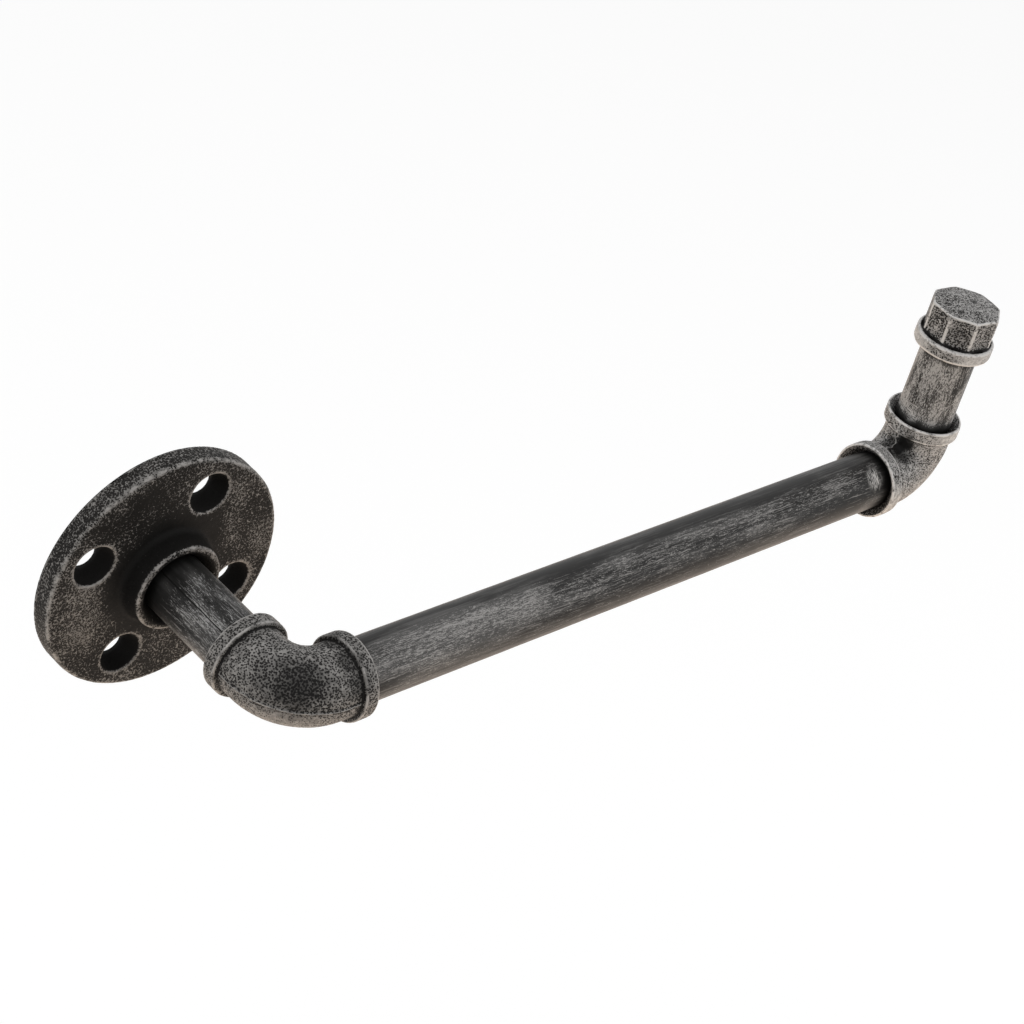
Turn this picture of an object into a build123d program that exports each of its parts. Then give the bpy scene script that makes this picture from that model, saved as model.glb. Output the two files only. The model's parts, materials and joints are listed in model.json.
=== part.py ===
from build123d import *
import math
import os

# Toilet paper holder made of half-inch iron pipe and fittings, in millimetres.
# The wall is the plane y = 0. The standoff leaves it along -Y, the arm runs along +X
# and the riser with its cap points up, along +Z.

# Pipe and its thread
PIPE_OUTER = 21.3
PIPE_WALL = 2.6
THREAD_PITCH = 1.814
THREAD_DEPTH = 1.16
THREAD_TURNS = 5
THREAD_GAP = 0.3
PIPE_END_GAP = 0.5
STANDOFF_LENGTH = 58.7
ARM_LENGTH = 272.8
RISER_LENGTH = 53.8

# Elbows, cast with a rounded band at each mouth
ELBOW_WALL = 1.65
ELBOW_THROAT = 3.2
BEND_INNER = 2.2
BAND_STEP = 1.8
BAND_WIDTH = 5.3
BAND_ROUND = 0.8
LIP_ROUND = 0.7
MOUTH_DEPTH = 2.6
MOUTH_RIM = 0.9

# Wall flange, cast as a disc with a hub
FLANGE_THICKNESS = 7.8
FLANGE_ROUND = 1.5
FLANGE_BACK_ROUND = 0.5
HUB_WALL = 4.85
HUB_DRAFT = 1.2
HUB_FILLET = 1.8
HUB_RIM = 2.0
HUB_ROUND = 0.7
HUB_MOUTH = 3.5
PIPE_SETBACK = 2.3
SCREW_HOLE = 8.8
SCREW_SINK = 14.8
SINK_DEPTH = 6.3
SCREW_COUNT = 4
SCREW_TURN = -23.8
HUB_LAND = 6.3
RIM_LAND = 5.3

# End cap, an octagon with a domed top standing on a round collar
CAP_SIDES = 8
CAP_TURN = 13.5
CAP_WALL = 1.5
CAP_MOUTH = 1.0
CAP_ROOF = 7.3
CAP_DOME = 1.2
CAP_EDGE_ROUND = 0.9
COLLAR_STEP = 1.2
COLLAR_WIDTH = 5.5
COLLAR_ROUND = 1.1
COLLAR_RIM = 1.5
COLLAR_GROOVE = 1.2

# How far a cutter stands past the face that it opens
OVERCUT = 1.0

# Radii and lengths that follow from the sizes above
pipe_radius = PIPE_OUTER / 2
bore_radius = pipe_radius - PIPE_WALL
root_radius = pipe_radius - THREAD_DEPTH
socket_radius = pipe_radius + THREAD_GAP
thread_length = (THREAD_TURNS + 0.5) * THREAD_PITCH

elbow_radius = socket_radius + ELBOW_WALL
band_radius = elbow_radius + BAND_STEP
elbow_floor = bore_radius + ELBOW_THROAT
elbow_pipe_end = elbow_floor + PIPE_END_GAP
elbow_reach = elbow_pipe_end + thread_length + MOUTH_DEPTH
elbow_bend = elbow_radius + BEND_INNER

hub_radius = socket_radius + HUB_WALL
hub_foot_radius = hub_radius + HUB_DRAFT
hub_height = PIPE_SETBACK + thread_length + HUB_MOUTH
screw_radius = SCREW_HOLE / 2
sink_radius = SCREW_SINK / 2
screw_circle_radius = hub_foot_radius + HUB_LAND + sink_radius
flange_radius = screw_circle_radius + sink_radius + RIM_LAND

cap_corner_radius = (socket_radius + CAP_WALL) / math.cos(math.pi / CAP_SIDES)
dome_radius = (cap_corner_radius**2 + CAP_DOME**2) / (2 * CAP_DOME)
collar_radius = cap_corner_radius + COLLAR_STEP
rim_radius = collar_radius - COLLAR_RIM
cap_pipe_end = CAP_MOUTH + thread_length
cap_floor = cap_pipe_end + PIPE_END_GAP
cap_height = cap_floor + CAP_ROOF

# Places of the axes and of the pieces along them
wall_to_arm = PIPE_SETBACK + STANDOFF_LENGTH + elbow_pipe_end
standoff_to_riser = ARM_LENGTH + 2 * elbow_pipe_end
riser_top = elbow_pipe_end + RISER_LENGTH
cap_foot = riser_top - cap_pipe_end


def turned(outline):
    """Solid of revolution about Z from corners of (radius, height, rounding)."""
    corners = [(radius, height) for radius, height, _ in outline]
    rounds = [rounding for _, _, rounding in outline]
    profile = make_face(FilletPolyline(*corners, radius=rounds, close=True))
    return revolve(Plane.XZ * profile, Axis.Z)


def thread(start, gap):
    """Corners of the thread's rings from a pipe's end at start, widened by a radial gap."""
    corners = []
    for turn in range(THREAD_TURNS + 1):
        height = start + turn * THREAD_PITCH
        corners.append((root_radius + gap, height, 0))
        corners.append((pipe_radius + gap, height + THREAD_PITCH / 2, 0))
    return corners


def threaded_pipe(length):
    """Pipe along +Z from the origin, threaded at both ends."""
    lower_end = thread(0, 0)
    upper_end = [(radius, length - height, 0) for radius, height, _ in reversed(lower_end)]
    return turned([(bore_radius, 0, 0), *lower_end, *upper_end, (bore_radius, length, 0)])


def socket_cutter(floor, mouth_depth, mouth_radius):
    """Threaded socket along +Z, from its floor to the cone of its mouth."""
    pipe_end = floor + PIPE_END_GAP
    face = pipe_end + thread_length + mouth_depth
    foot = [(0, floor, 0), (root_radius + THREAD_GAP, floor, 0)]
    mouth = [(mouth_radius, face, 0), (mouth_radius, face + OVERCUT, 0), (0, face + OVERCUT, 0)]
    return turned([*foot, *thread(pipe_end, THREAD_GAP), *mouth])


def elbow():
    """Elbow with its corner at the origin and its mouths towards +X and +Y."""
    legs = [
        Plane((0, 0, 0), x_dir=(0, 1, 0), z_dir=(1, 0, 0)),
        Plane((0, 0, 0), x_dir=(1, 0, 0), z_dir=(0, 1, 0)),
    ]
    outer_line = FilletPolyline((elbow_reach, 0), (0, 0), (0, elbow_reach), radius=elbow_bend)
    body = sweep(legs[0].offset(elbow_reach) * Circle(elbow_radius), path=outer_line)
    band_foot = elbow_reach - BAND_WIDTH
    band = turned([
        (0, band_foot, 0),
        (band_radius, band_foot, BAND_ROUND),
        (band_radius, elbow_reach, LIP_ROUND),
        (0, elbow_reach, 0),
    ])
    bore_end = elbow_floor + OVERCUT
    bore_line = FilletPolyline((bore_end, 0), (0, 0), (0, bore_end), radius=elbow_floor)
    bore = sweep(legs[0].offset(bore_end) * Circle(bore_radius), path=bore_line)
    socket = socket_cutter(elbow_floor, MOUTH_DEPTH, band_radius - MOUTH_RIM)
    for leg in legs:
        body += leg * band
    for leg in legs:
        body -= leg * socket
    return body - bore


def wall_flange():
    """Flange along +Z from the wall, with its hub, its thread and its sunk screw holes."""
    disc = [
        (root_radius + THREAD_GAP, 0, 0),
        (flange_radius, 0, FLANGE_BACK_ROUND),
        (flange_radius, FLANGE_THICKNESS, FLANGE_ROUND),
    ]
    hub = [
        (hub_foot_radius, FLANGE_THICKNESS, HUB_FILLET),
        (hub_radius, hub_height, HUB_ROUND),
        (hub_radius - HUB_RIM, hub_height, 0),
    ]
    body = turned([*disc, *hub, *reversed(thread(PIPE_SETBACK, THREAD_GAP))])
    hole = turned([
        (0, -OVERCUT, 0),
        (screw_radius, -OVERCUT, 0),
        (screw_radius, FLANGE_THICKNESS - SINK_DEPTH, 0),
        (sink_radius, FLANGE_THICKNESS, 0),
        (sink_radius, FLANGE_THICKNESS + OVERCUT, 0),
        (0, FLANGE_THICKNESS + OVERCUT, 0),
    ])
    for place in PolarLocations(screw_circle_radius, SCREW_COUNT, start_angle=SCREW_TURN):
        body -= place * hole
    return body


def end_cap():
    """Cap along +Z from the open face of its collar to the top of its dome."""
    prism = extrude(RegularPolygon(cap_corner_radius, CAP_SIDES, rotation=CAP_TURN), cap_height + OVERCUT)
    ball = Rot(90, 0, 0) * Sphere(dome_radius)
    head = prism & Pos(0, 0, cap_height - dome_radius) * ball
    upright_edges = head.edges().filter_by(Axis.Z)
    top_edges = head.faces().sort_by(Axis.Z)[-1].edges()
    head = fillet(upright_edges + top_edges, CAP_EDGE_ROUND)
    groove_floor = COLLAR_WIDTH - COLLAR_GROOVE
    collar = turned([
        (0, 0, 0),
        (collar_radius, 0, COLLAR_ROUND),
        (collar_radius, COLLAR_WIDTH, COLLAR_ROUND),
        (rim_radius, COLLAR_WIDTH, 0),
        (rim_radius, groove_floor, 0),
        (0, groove_floor, 0),
    ])
    downwards = Plane((0, 0, cap_floor), x_dir=(1, 0, 0), z_dir=(0, 0, -1))
    socket = socket_cutter(0, CAP_MOUTH, socket_radius + CAP_MOUTH)
    return head + collar - downwards * socket


from_wall = Plane((0, 0, 0), x_dir=(1, 0, 0), z_dir=(0, -1, 0))
rear_corner = Plane((0, -wall_to_arm, 0), x_dir=(1, 0, 0), z_dir=(0, 0, 1))
along_arm = Plane((elbow_pipe_end, -wall_to_arm, 0), x_dir=(0, 1, 0), z_dir=(1, 0, 0))
front_corner = Plane((standoff_to_riser, -wall_to_arm, 0), x_dir=(-1, 0, 0), z_dir=(0, 1, 0))
up_riser = Plane((standoff_to_riser, -wall_to_arm, 0), x_dir=(1, 0, 0), z_dir=(0, 0, 1))

pieces = {
    "wall_flange": from_wall * wall_flange(),
    "standoff_pipe": from_wall.offset(PIPE_SETBACK) * threaded_pipe(STANDOFF_LENGTH),
    "rear_elbow": rear_corner * elbow(),
    "arm_pipe": along_arm * threaded_pipe(ARM_LENGTH),
    "front_elbow": front_corner * elbow(),
    "riser_pipe": up_riser.offset(elbow_pipe_end) * threaded_pipe(RISER_LENGTH),
    "end_cap": up_riser.offset(cap_foot) * end_cap(),
}

os.makedirs("parts", exist_ok=True)
for name, piece in pieces.items():
    piece.label = name
    export_step(piece, f"parts/{name}.step")
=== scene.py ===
"""Looks of a toilet paper holder built from iron pipe: cast fittings and pipes, silver brushed over black."""

import json
import logging
import math
from collections.abc import Callable
from dataclasses import dataclass, replace
from enum import Enum
from typing import NamedTuple

import bmesh
import bpy
import numpy as np
from mathutils import Matrix, Vector, noise

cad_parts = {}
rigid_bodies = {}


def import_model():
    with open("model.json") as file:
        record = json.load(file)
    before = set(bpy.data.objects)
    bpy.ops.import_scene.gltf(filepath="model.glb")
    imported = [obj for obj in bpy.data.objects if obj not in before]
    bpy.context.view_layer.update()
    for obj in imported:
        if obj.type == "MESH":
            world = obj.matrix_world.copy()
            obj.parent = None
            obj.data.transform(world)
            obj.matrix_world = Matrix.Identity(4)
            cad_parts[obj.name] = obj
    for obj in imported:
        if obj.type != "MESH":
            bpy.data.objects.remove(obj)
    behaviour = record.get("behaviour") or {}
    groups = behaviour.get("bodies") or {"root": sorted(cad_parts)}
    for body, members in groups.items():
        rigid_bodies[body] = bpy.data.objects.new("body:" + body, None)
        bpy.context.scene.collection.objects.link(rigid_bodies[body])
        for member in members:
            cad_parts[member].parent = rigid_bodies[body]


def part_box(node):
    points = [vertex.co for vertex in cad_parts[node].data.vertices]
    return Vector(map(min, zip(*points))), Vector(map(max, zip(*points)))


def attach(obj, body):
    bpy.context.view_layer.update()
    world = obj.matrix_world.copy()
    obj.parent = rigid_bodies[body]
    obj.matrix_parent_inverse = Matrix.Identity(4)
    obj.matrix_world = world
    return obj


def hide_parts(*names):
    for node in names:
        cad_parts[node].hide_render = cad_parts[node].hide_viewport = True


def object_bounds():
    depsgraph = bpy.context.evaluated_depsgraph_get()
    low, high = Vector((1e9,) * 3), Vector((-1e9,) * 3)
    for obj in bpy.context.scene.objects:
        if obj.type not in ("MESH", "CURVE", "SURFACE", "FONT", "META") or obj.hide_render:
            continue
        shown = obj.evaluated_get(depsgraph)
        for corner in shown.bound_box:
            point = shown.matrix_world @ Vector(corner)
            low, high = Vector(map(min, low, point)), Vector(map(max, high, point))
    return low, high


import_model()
CAD_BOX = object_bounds()

LOG = logging.getLogger("holder")

# Lengths are in metres. MM turns a size in millimetres into metres.
MM = 0.001
# Vertices nearer than this are one vertex.
MERGE = 0.004 * MM
# How far a cutter stands past the face that it opens.
OVER = 1.0 * MM
# Steps once around a turned shape, and edges in each rounding of its outline.
LATHE_STEPS = 160
ROUND_STEPS = 5
# Directions in the frame: along the arm, away from the wall and up the riser.
RIGHT, OUT, UP = Vector((1, 0, 0)), Vector((0, -1, 0)), Vector((0, 0, 1))
WHITE = (1.0, 1.0, 1.0, 1.0)

# Short names of types that come up often.
Piece = bpy.types.Object
Socket = bpy.types.NodeSocket
Pair = tuple[float, float]
Colour = tuple[float, float, float, float]

# Names of what a mesh keeps for its vertices.
SKIN = "skin"
# How much silver the brush leaves; painted shade lowers it as well
REACH_AND_SHADE = "reach"
WEAR = "wear"
RELIEF = "relief"
# Painted shade, and on the cap a few real dark pits: how far the colour turns to near black
SHADE_AND_PITS = "soot"
RUB = "rub"
FILM = "film"
ASIDE = "aside"


class Slot(Enum):
    """Material slots of the record."""

    CAST_IRON = "cast_iron"
    PIPE_STEEL = "pipe_steel"


class Cut(Enum):
    """What a boolean does with its second shape."""

    AWAY = "DIFFERENCE"
    TOGETHER = "UNION"
    WITHIN = "INTERSECT"


class Corner(NamedTuple):
    """A corner of a turned outline, with the radius that rounds it."""

    radius: float
    height: float
    rounding: float = 0.0


@dataclass(frozen=True)
class Place:
    """A point, the axis that leaves it and a direction square to that axis."""

    origin: Vector
    along: Vector
    side: Vector

    @property
    def across(self) -> Vector:
        """Direction square to both the axis and the side."""
        return self.along.cross(self.side)

    def point(self, radius: float, height: float) -> Vector:
        """Point in the half plane of the axis and the side."""
        return self.origin + radius * self.side + height * self.along

    def moved(self, height: float) -> "Place":
        """The same place, further along its axis."""
        return Place(self.origin + height * self.along, self.along, self.side)

    def turned(self, angle: float) -> "Place":
        """The same place, with its side turned about its axis."""
        return Place(self.origin, self.along, Matrix.Rotation(angle, 3, self.along) @ self.side)

    def matrix(self) -> Matrix:
        """Matrix that takes X, Y and Z to the place's side, across direction and axis."""
        turn = Matrix((self.side, self.across, self.along)).transposed().to_4x4()
        return Matrix.Translation(self.origin) @ turn

    def local(self, points: np.ndarray) -> np.ndarray:
        """Points as seen from the place: side, across and axis are the columns."""
        return (points - np.array(self.origin)) @ np.array((self.side, self.across, self.along)).T


@dataclass(frozen=True)
class Seat:
    """Where a piece belongs: its CAD node, the body that carries it and its material slot."""

    node: str
    body: str
    slot: Slot

    def hand_over(self, piece: Piece) -> None:
        """Lets a finished piece stand for its CAD node.

        Args:
            piece: Mesh object in its place in the frame.
        """
        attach(piece, self.body)
        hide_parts(self.node)
        LOG.info("%s: %d faces on body %s", piece.name, len(piece.data.polygons), self.body)


# Shaping with operators


def begin(name: str) -> Piece:
    """Starts a mesh as a single vertex at the origin and leaves it in edit mode.

    Args:
        name: Name of the new object.

    Returns:
        The new object, active and in edit mode.
    """
    bpy.ops.object.select_all(action="DESELECT")
    bpy.ops.mesh.primitive_plane_add(size=MM)
    piece = bpy.context.object
    piece.name = name
    piece.data.name = name
    bpy.ops.object.mode_set(mode="EDIT")
    bpy.ops.mesh.select_mode(type="VERT")
    bpy.ops.mesh.merge(type="CENTER")
    return piece


def only(piece: Piece) -> None:
    """Makes a piece the one that is selected and active."""
    bpy.ops.object.select_all(action="DESELECT")
    piece.select_set(True)
    bpy.context.view_layer.objects.active = piece


def pick(piece: Piece, test: Callable[[Vector], bool]) -> None:
    """Selects the vertices that pass a test, and what lies between them, in edit mode.

    Args:
        piece: Object in edit mode.
        test: Tells from a vertex's place whether it is picked.
    """
    bpy.ops.mesh.select_all(action="DESELECT")
    shape = bmesh.from_edit_mesh(piece.data)
    for vertex in shape.verts:
        if test(vertex.co):
            vertex.select_set(True)
    shape.select_flush(True)
    bmesh.update_edit_mesh(piece.data)


def divide(piece: Piece, step: float, test: Callable[[Vector], bool]) -> None:
    """Subdivides the edges of an outline until none is longer than a step.

    Args:
        piece: Object in edit mode.
        step: Longest edge that is left.
        test: Tells from an edge's middle whether it is divided.
    """
    shape = bmesh.from_edit_mesh(piece.data)
    wanted: dict[int, list[tuple[Vector, Vector]]] = {}
    for edge in shape.edges:
        start, end = (vertex.co.copy() for vertex in edge.verts)
        cuts = math.ceil((end - start).length / step) - 1
        if cuts > 0 and test((start + end) / 2):
            wanted.setdefault(cuts, []).append((start, end))
    for cuts, spans in wanted.items():
        for start, end in spans:
            pick(piece, lambda place: (place - start).length < MERGE or (place - end).length < MERGE)
            bpy.ops.mesh.subdivide(number_cuts=cuts)


def merge_doubles() -> None:
    """Selects all in edit mode and merges the vertices that lie together."""
    bpy.ops.mesh.select_all(action="SELECT")
    bpy.ops.mesh.remove_doubles(threshold=MERGE)


def draw(place: Place, outline: list[Corner], closed: bool) -> None:
    """Draws an outline by extruding the single vertex of a new mesh from corner to corner.

    Args:
        place: Axis and side that the outline is drawn against.
        outline: Corners in order.
        closed: Whether the last corner joins the first.
    """
    stops = [place.point(corner.radius, corner.height) for corner in outline]
    bpy.ops.transform.translate(value=stops[0])
    if closed:
        stops.append(stops[0])
    for here, there in zip(stops, stops[1:]):
        bpy.ops.mesh.extrude_region_move(TRANSFORM_OT_translate={"value": there - here})
    merge_doubles()


def round_corners(piece: Piece, place: Place, outline: list[Corner]) -> None:
    """Rounds the corners of a drawn outline with vertex bevels.

    Args:
        piece: Object in edit mode that holds the outline.
        place: Axis and side that the outline was drawn against.
        outline: Corners in order, with their rounding radii.
    """
    stops = [place.point(corner.radius, corner.height) for corner in outline]
    for index, corner in enumerate(outline):
        if not corner.rounding:
            continue
        here = stops[index]
        back = stops[index - 1] - here
        on = stops[(index + 1) % len(stops)] - here
        tangent = corner.rounding / math.tan(back.angle(on) / 2)
        pick(piece, lambda spot: (spot - here).length < MERGE)
        bpy.ops.mesh.bevel(offset=tangent, segments=ROUND_STEPS, affect="VERTICES")


def spin(place: Place, angle: float, segments: int) -> None:
    """Spins what is selected about a place's axis, in the sense of a right-hand screw."""
    bpy.ops.mesh.spin(steps=segments, angle=-angle, center=place.origin, axis=place.along)


def close_up(piece: Piece) -> None:
    """Merges doubles, turns the faces outwards and leaves edit mode."""
    merge_doubles()
    bpy.ops.mesh.normals_make_consistent(inside=False)
    bpy.ops.object.mode_set(mode="OBJECT")
    only(piece)


def turn(
    name: str,
    place: Place,
    outline: list[Corner],
    segments: int = LATHE_STEPS,
    step: float = math.inf,
    closed: bool = False,
) -> Piece:
    """Turns an outline once about an axis, as on a lathe.

    Args:
        name: Name of the new object.
        place: Axis to turn about, with the side where the outline is drawn.
        outline: Corners in order; an open outline starts and ends on the axis.
        segments: Steps around the axis.
        step: Longest edge along the outline.
        closed: Whether the last corner joins the first.

    Returns:
        The turned object, in object mode.
    """
    piece = begin(name)
    draw(place, outline, closed)
    round_corners(piece, place, outline)
    divide(piece, step, lambda middle: True)
    bpy.ops.mesh.select_all(action="SELECT")
    spin(place, math.tau, segments)
    close_up(piece)
    return piece


def apply(piece: Piece, kind: str, **settings: object) -> None:
    """Adds a modifier to a piece and applies it.

    Args:
        piece: Object in object mode.
        kind: Type of the modifier.
        settings: Values of the modifier's properties.
    """
    only(piece)
    modifier = piece.modifiers.new(kind.lower(), kind)
    for key, value in settings.items():
        setattr(modifier, key, value)
    bpy.ops.object.modifier_apply(modifier=modifier.name)


def combine(piece: Piece, other: Piece, cut: Cut) -> None:
    """Cuts a shape away from a piece, adds it or keeps what lies within it, and removes that shape."""
    apply(piece, "BOOLEAN", object=other, operation=cut.value, solver="EXACT")
    bpy.data.objects.remove(other)


def roughen(piece: Piece, name: str, size: float, depth: float) -> None:
    """Presses soft random hollows into the skin of a piece, never above it.

    Args:
        piece: Object with a vertex group for its skin.
        name: Name of the texture.
        size: Size of the hollows.
        depth: Depth of the deepest hollow.
    """
    texture = bpy.data.textures.new(name, "CLOUDS")
    texture.noise_scale = size
    texture.noise_depth = 1
    apply(
        piece,
        "DISPLACE",
        texture=texture,
        texture_coords="LOCAL",
        mid_level=1.0,
        strength=depth,
        vertex_group=SKIN,
    )


def drop_crumbs(piece: Piece) -> None:
    """Deletes every loose bit that isn't joined to the topmost vertex of a piece."""
    top = int(np.argmax(spots(piece)[:, 2]))
    only(piece)
    bpy.ops.object.mode_set(mode="EDIT")
    bpy.ops.mesh.select_mode(type="VERT")
    bpy.ops.mesh.select_all(action="DESELECT")
    shape = bmesh.from_edit_mesh(piece.data)
    shape.verts.ensure_lookup_table()
    shape.verts[top].select_set(True)
    bmesh.update_edit_mesh(piece.data)
    bpy.ops.mesh.select_linked()
    bpy.ops.mesh.select_all(action="INVERT")
    bpy.ops.mesh.delete(type="VERT")
    bpy.ops.object.mode_set(mode="OBJECT")


def join(pieces: list[Piece]) -> Piece:
    """Joins pieces into the first of them and returns it."""
    only(pieces[0])
    for piece in pieces:
        piece.select_set(True)
    bpy.ops.object.join()
    return pieces[0]


def copy_to(piece: Piece, name: str, start: Place, end: Place) -> Piece:
    """Copies a piece, with its own mesh, from one place to another.

    Args:
        piece: Object that is copied.
        name: Name of the copy.
        start: Place that the piece was built at.
        end: Place of the copy.

    Returns:
        The copy.
    """
    mesh = piece.data.copy()
    mesh.name = name
    mesh.transform(end.matrix() @ start.matrix().inverted())
    twin = bpy.data.objects.new(name, mesh)
    bpy.context.collection.objects.link(twin)
    return twin


# Measures kept on the vertices

# A weight below this is left out of a vertex group.
LEAST_WEIGHT = 0.01
# A spot is whole up to the first share of its size and gone at the second, with a ragged outline.
SPOT_FADE = (0.3, 1.0)
SPOT_RAGGED = 0.3


def spots(piece: Piece) -> np.ndarray:
    """Places of a mesh's vertices, one row each."""
    places = np.empty(len(piece.data.vertices) * 3)
    piece.data.vertices.foreach_get("co", places)
    return places.reshape(-1, 3)


def keep(piece: Piece, name: str, values: np.ndarray) -> None:
    """Keeps one number for each vertex as an attribute that a material can read."""
    attribute = piece.data.attributes.get(name) or piece.data.attributes.new(name, "FLOAT", "POINT")
    attribute.data.foreach_set("value", np.ascontiguousarray(values, dtype=np.float32))


def group(piece: Piece, name: str, chosen: np.ndarray) -> None:
    """Puts the chosen vertices into a vertex group."""
    piece.vertex_groups.new(name=name).add(np.flatnonzero(chosen).tolist(), 1.0, "REPLACE")


def weigh(piece: Piece, name: str, weights: np.ndarray) -> None:
    """Puts vertices into a vertex group, each with its own weight."""
    made = piece.vertex_groups.new(name=name)
    for index in np.flatnonzero(weights > LEAST_WEIGHT):
        made.add([int(index)], float(weights[index]), "REPLACE")


def bending(piece: Piece, rounds: int) -> np.ndarray:
    """Measures how far the surface bends at each vertex.

    Args:
        piece: Object whose mesh is measured.
        rounds: Times that each value is averaged with its neighbours.

    Returns:
        Mean curvature in 1/m, above zero on edges and below zero in creases.
    """
    mesh = piece.data
    ends = np.empty(len(mesh.edges) * 2, dtype=np.int32)
    mesh.edges.foreach_get("vertices", ends)
    first, second = ends.reshape(-1, 2).T
    normals = np.empty(len(mesh.vertices) * 3)
    mesh.vertices.foreach_get("normal", normals)
    normals = normals.reshape(-1, 3)
    places = spots(piece)
    span = places[first] - places[second]
    square = np.maximum((span**2).sum(1), MERGE**2)
    count = np.bincount(first, minlength=len(places)) + np.bincount(second, minlength=len(places))

    def gather(at_first: np.ndarray, at_second: np.ndarray) -> np.ndarray:
        """Averages values over the edges that meet at each vertex."""
        total = np.bincount(first, at_first, len(places)) + np.bincount(second, at_second, len(places))
        return total / np.maximum(count, 1)

    bend = gather(2 * (normals[first] * span).sum(1) / square, -2 * (normals[second] * span).sum(1) / square)
    for _ in range(rounds):
        bend = (bend + gather(bend[second], bend[first])) / 2
    return bend


def ramp(values: np.ndarray, low: float, high: float) -> np.ndarray:
    """Smooth step from 0 at low to 1 at high."""
    share = np.clip((values - low) / (high - low), 0.0, 1.0)
    return share * share * (3 - 2 * share)


def kept(piece: Piece, name: str) -> np.ndarray:
    """Numbers that a piece keeps on its vertices under a name."""
    values = np.empty(len(piece.data.vertices), dtype=np.float32)
    piece.data.attributes[name].data.foreach_get("value", values)
    return values


def ragged(points: np.ndarray, size: float) -> np.ndarray:
    """Soft random number from -1 to 1 at each point, with features of one size."""
    return np.array([noise.noise(Vector(point) / size) for point in points])


class Shade(NamedTuple):
    """A spot of painted shade, a dark pit, or rubbed silver that is partly a painted highlight: its place in
    the piece's own frame, size and strength.
    """

    spot: Vector
    size: float
    strength: float


def marks(*rows: tuple[float, float, float, float, float]) -> tuple[Shade, ...]:
    """Shades from rows of place and size, both in millimetres, and strength."""
    return tuple(Shade(Vector(row[:3]) * MM, row[3] * MM, row[4]) for row in rows)


def shaded(rel: np.ndarray, shades: tuple[Shade, ...], uneven: np.ndarray) -> np.ndarray:
    """How strongly a set of shades covers each vertex.

    Args:
        rel: Vertices in the piece's own frame.
        shades: Spots of painted shade, dark pits, or rubbed silver that is partly a painted highlight.
        uneven: Random numbers that break up the outlines of the spots.

    Returns:
        One number from 0 to 1 for each vertex.
    """
    black = np.zeros(len(rel))
    for shade in shades:
        away = np.linalg.norm(rel - np.array(shade.spot), axis=1) / shade.size + SPOT_RAGGED * uneven
        black = np.maximum(black, shade.strength * (1 - ramp(away, *SPOT_FADE)))
    return black


# Finishes

# From this reach on, the brush leaves all its silver.
FULL_REACH = 0.3


class Brush(NamedTuple):
    """Masks of a brushed pattern: silver, thin grey film, rubbed silver and the height of the grain."""

    silver: Socket
    film: Socket
    rubbed: Socket
    height: Socket


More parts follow.
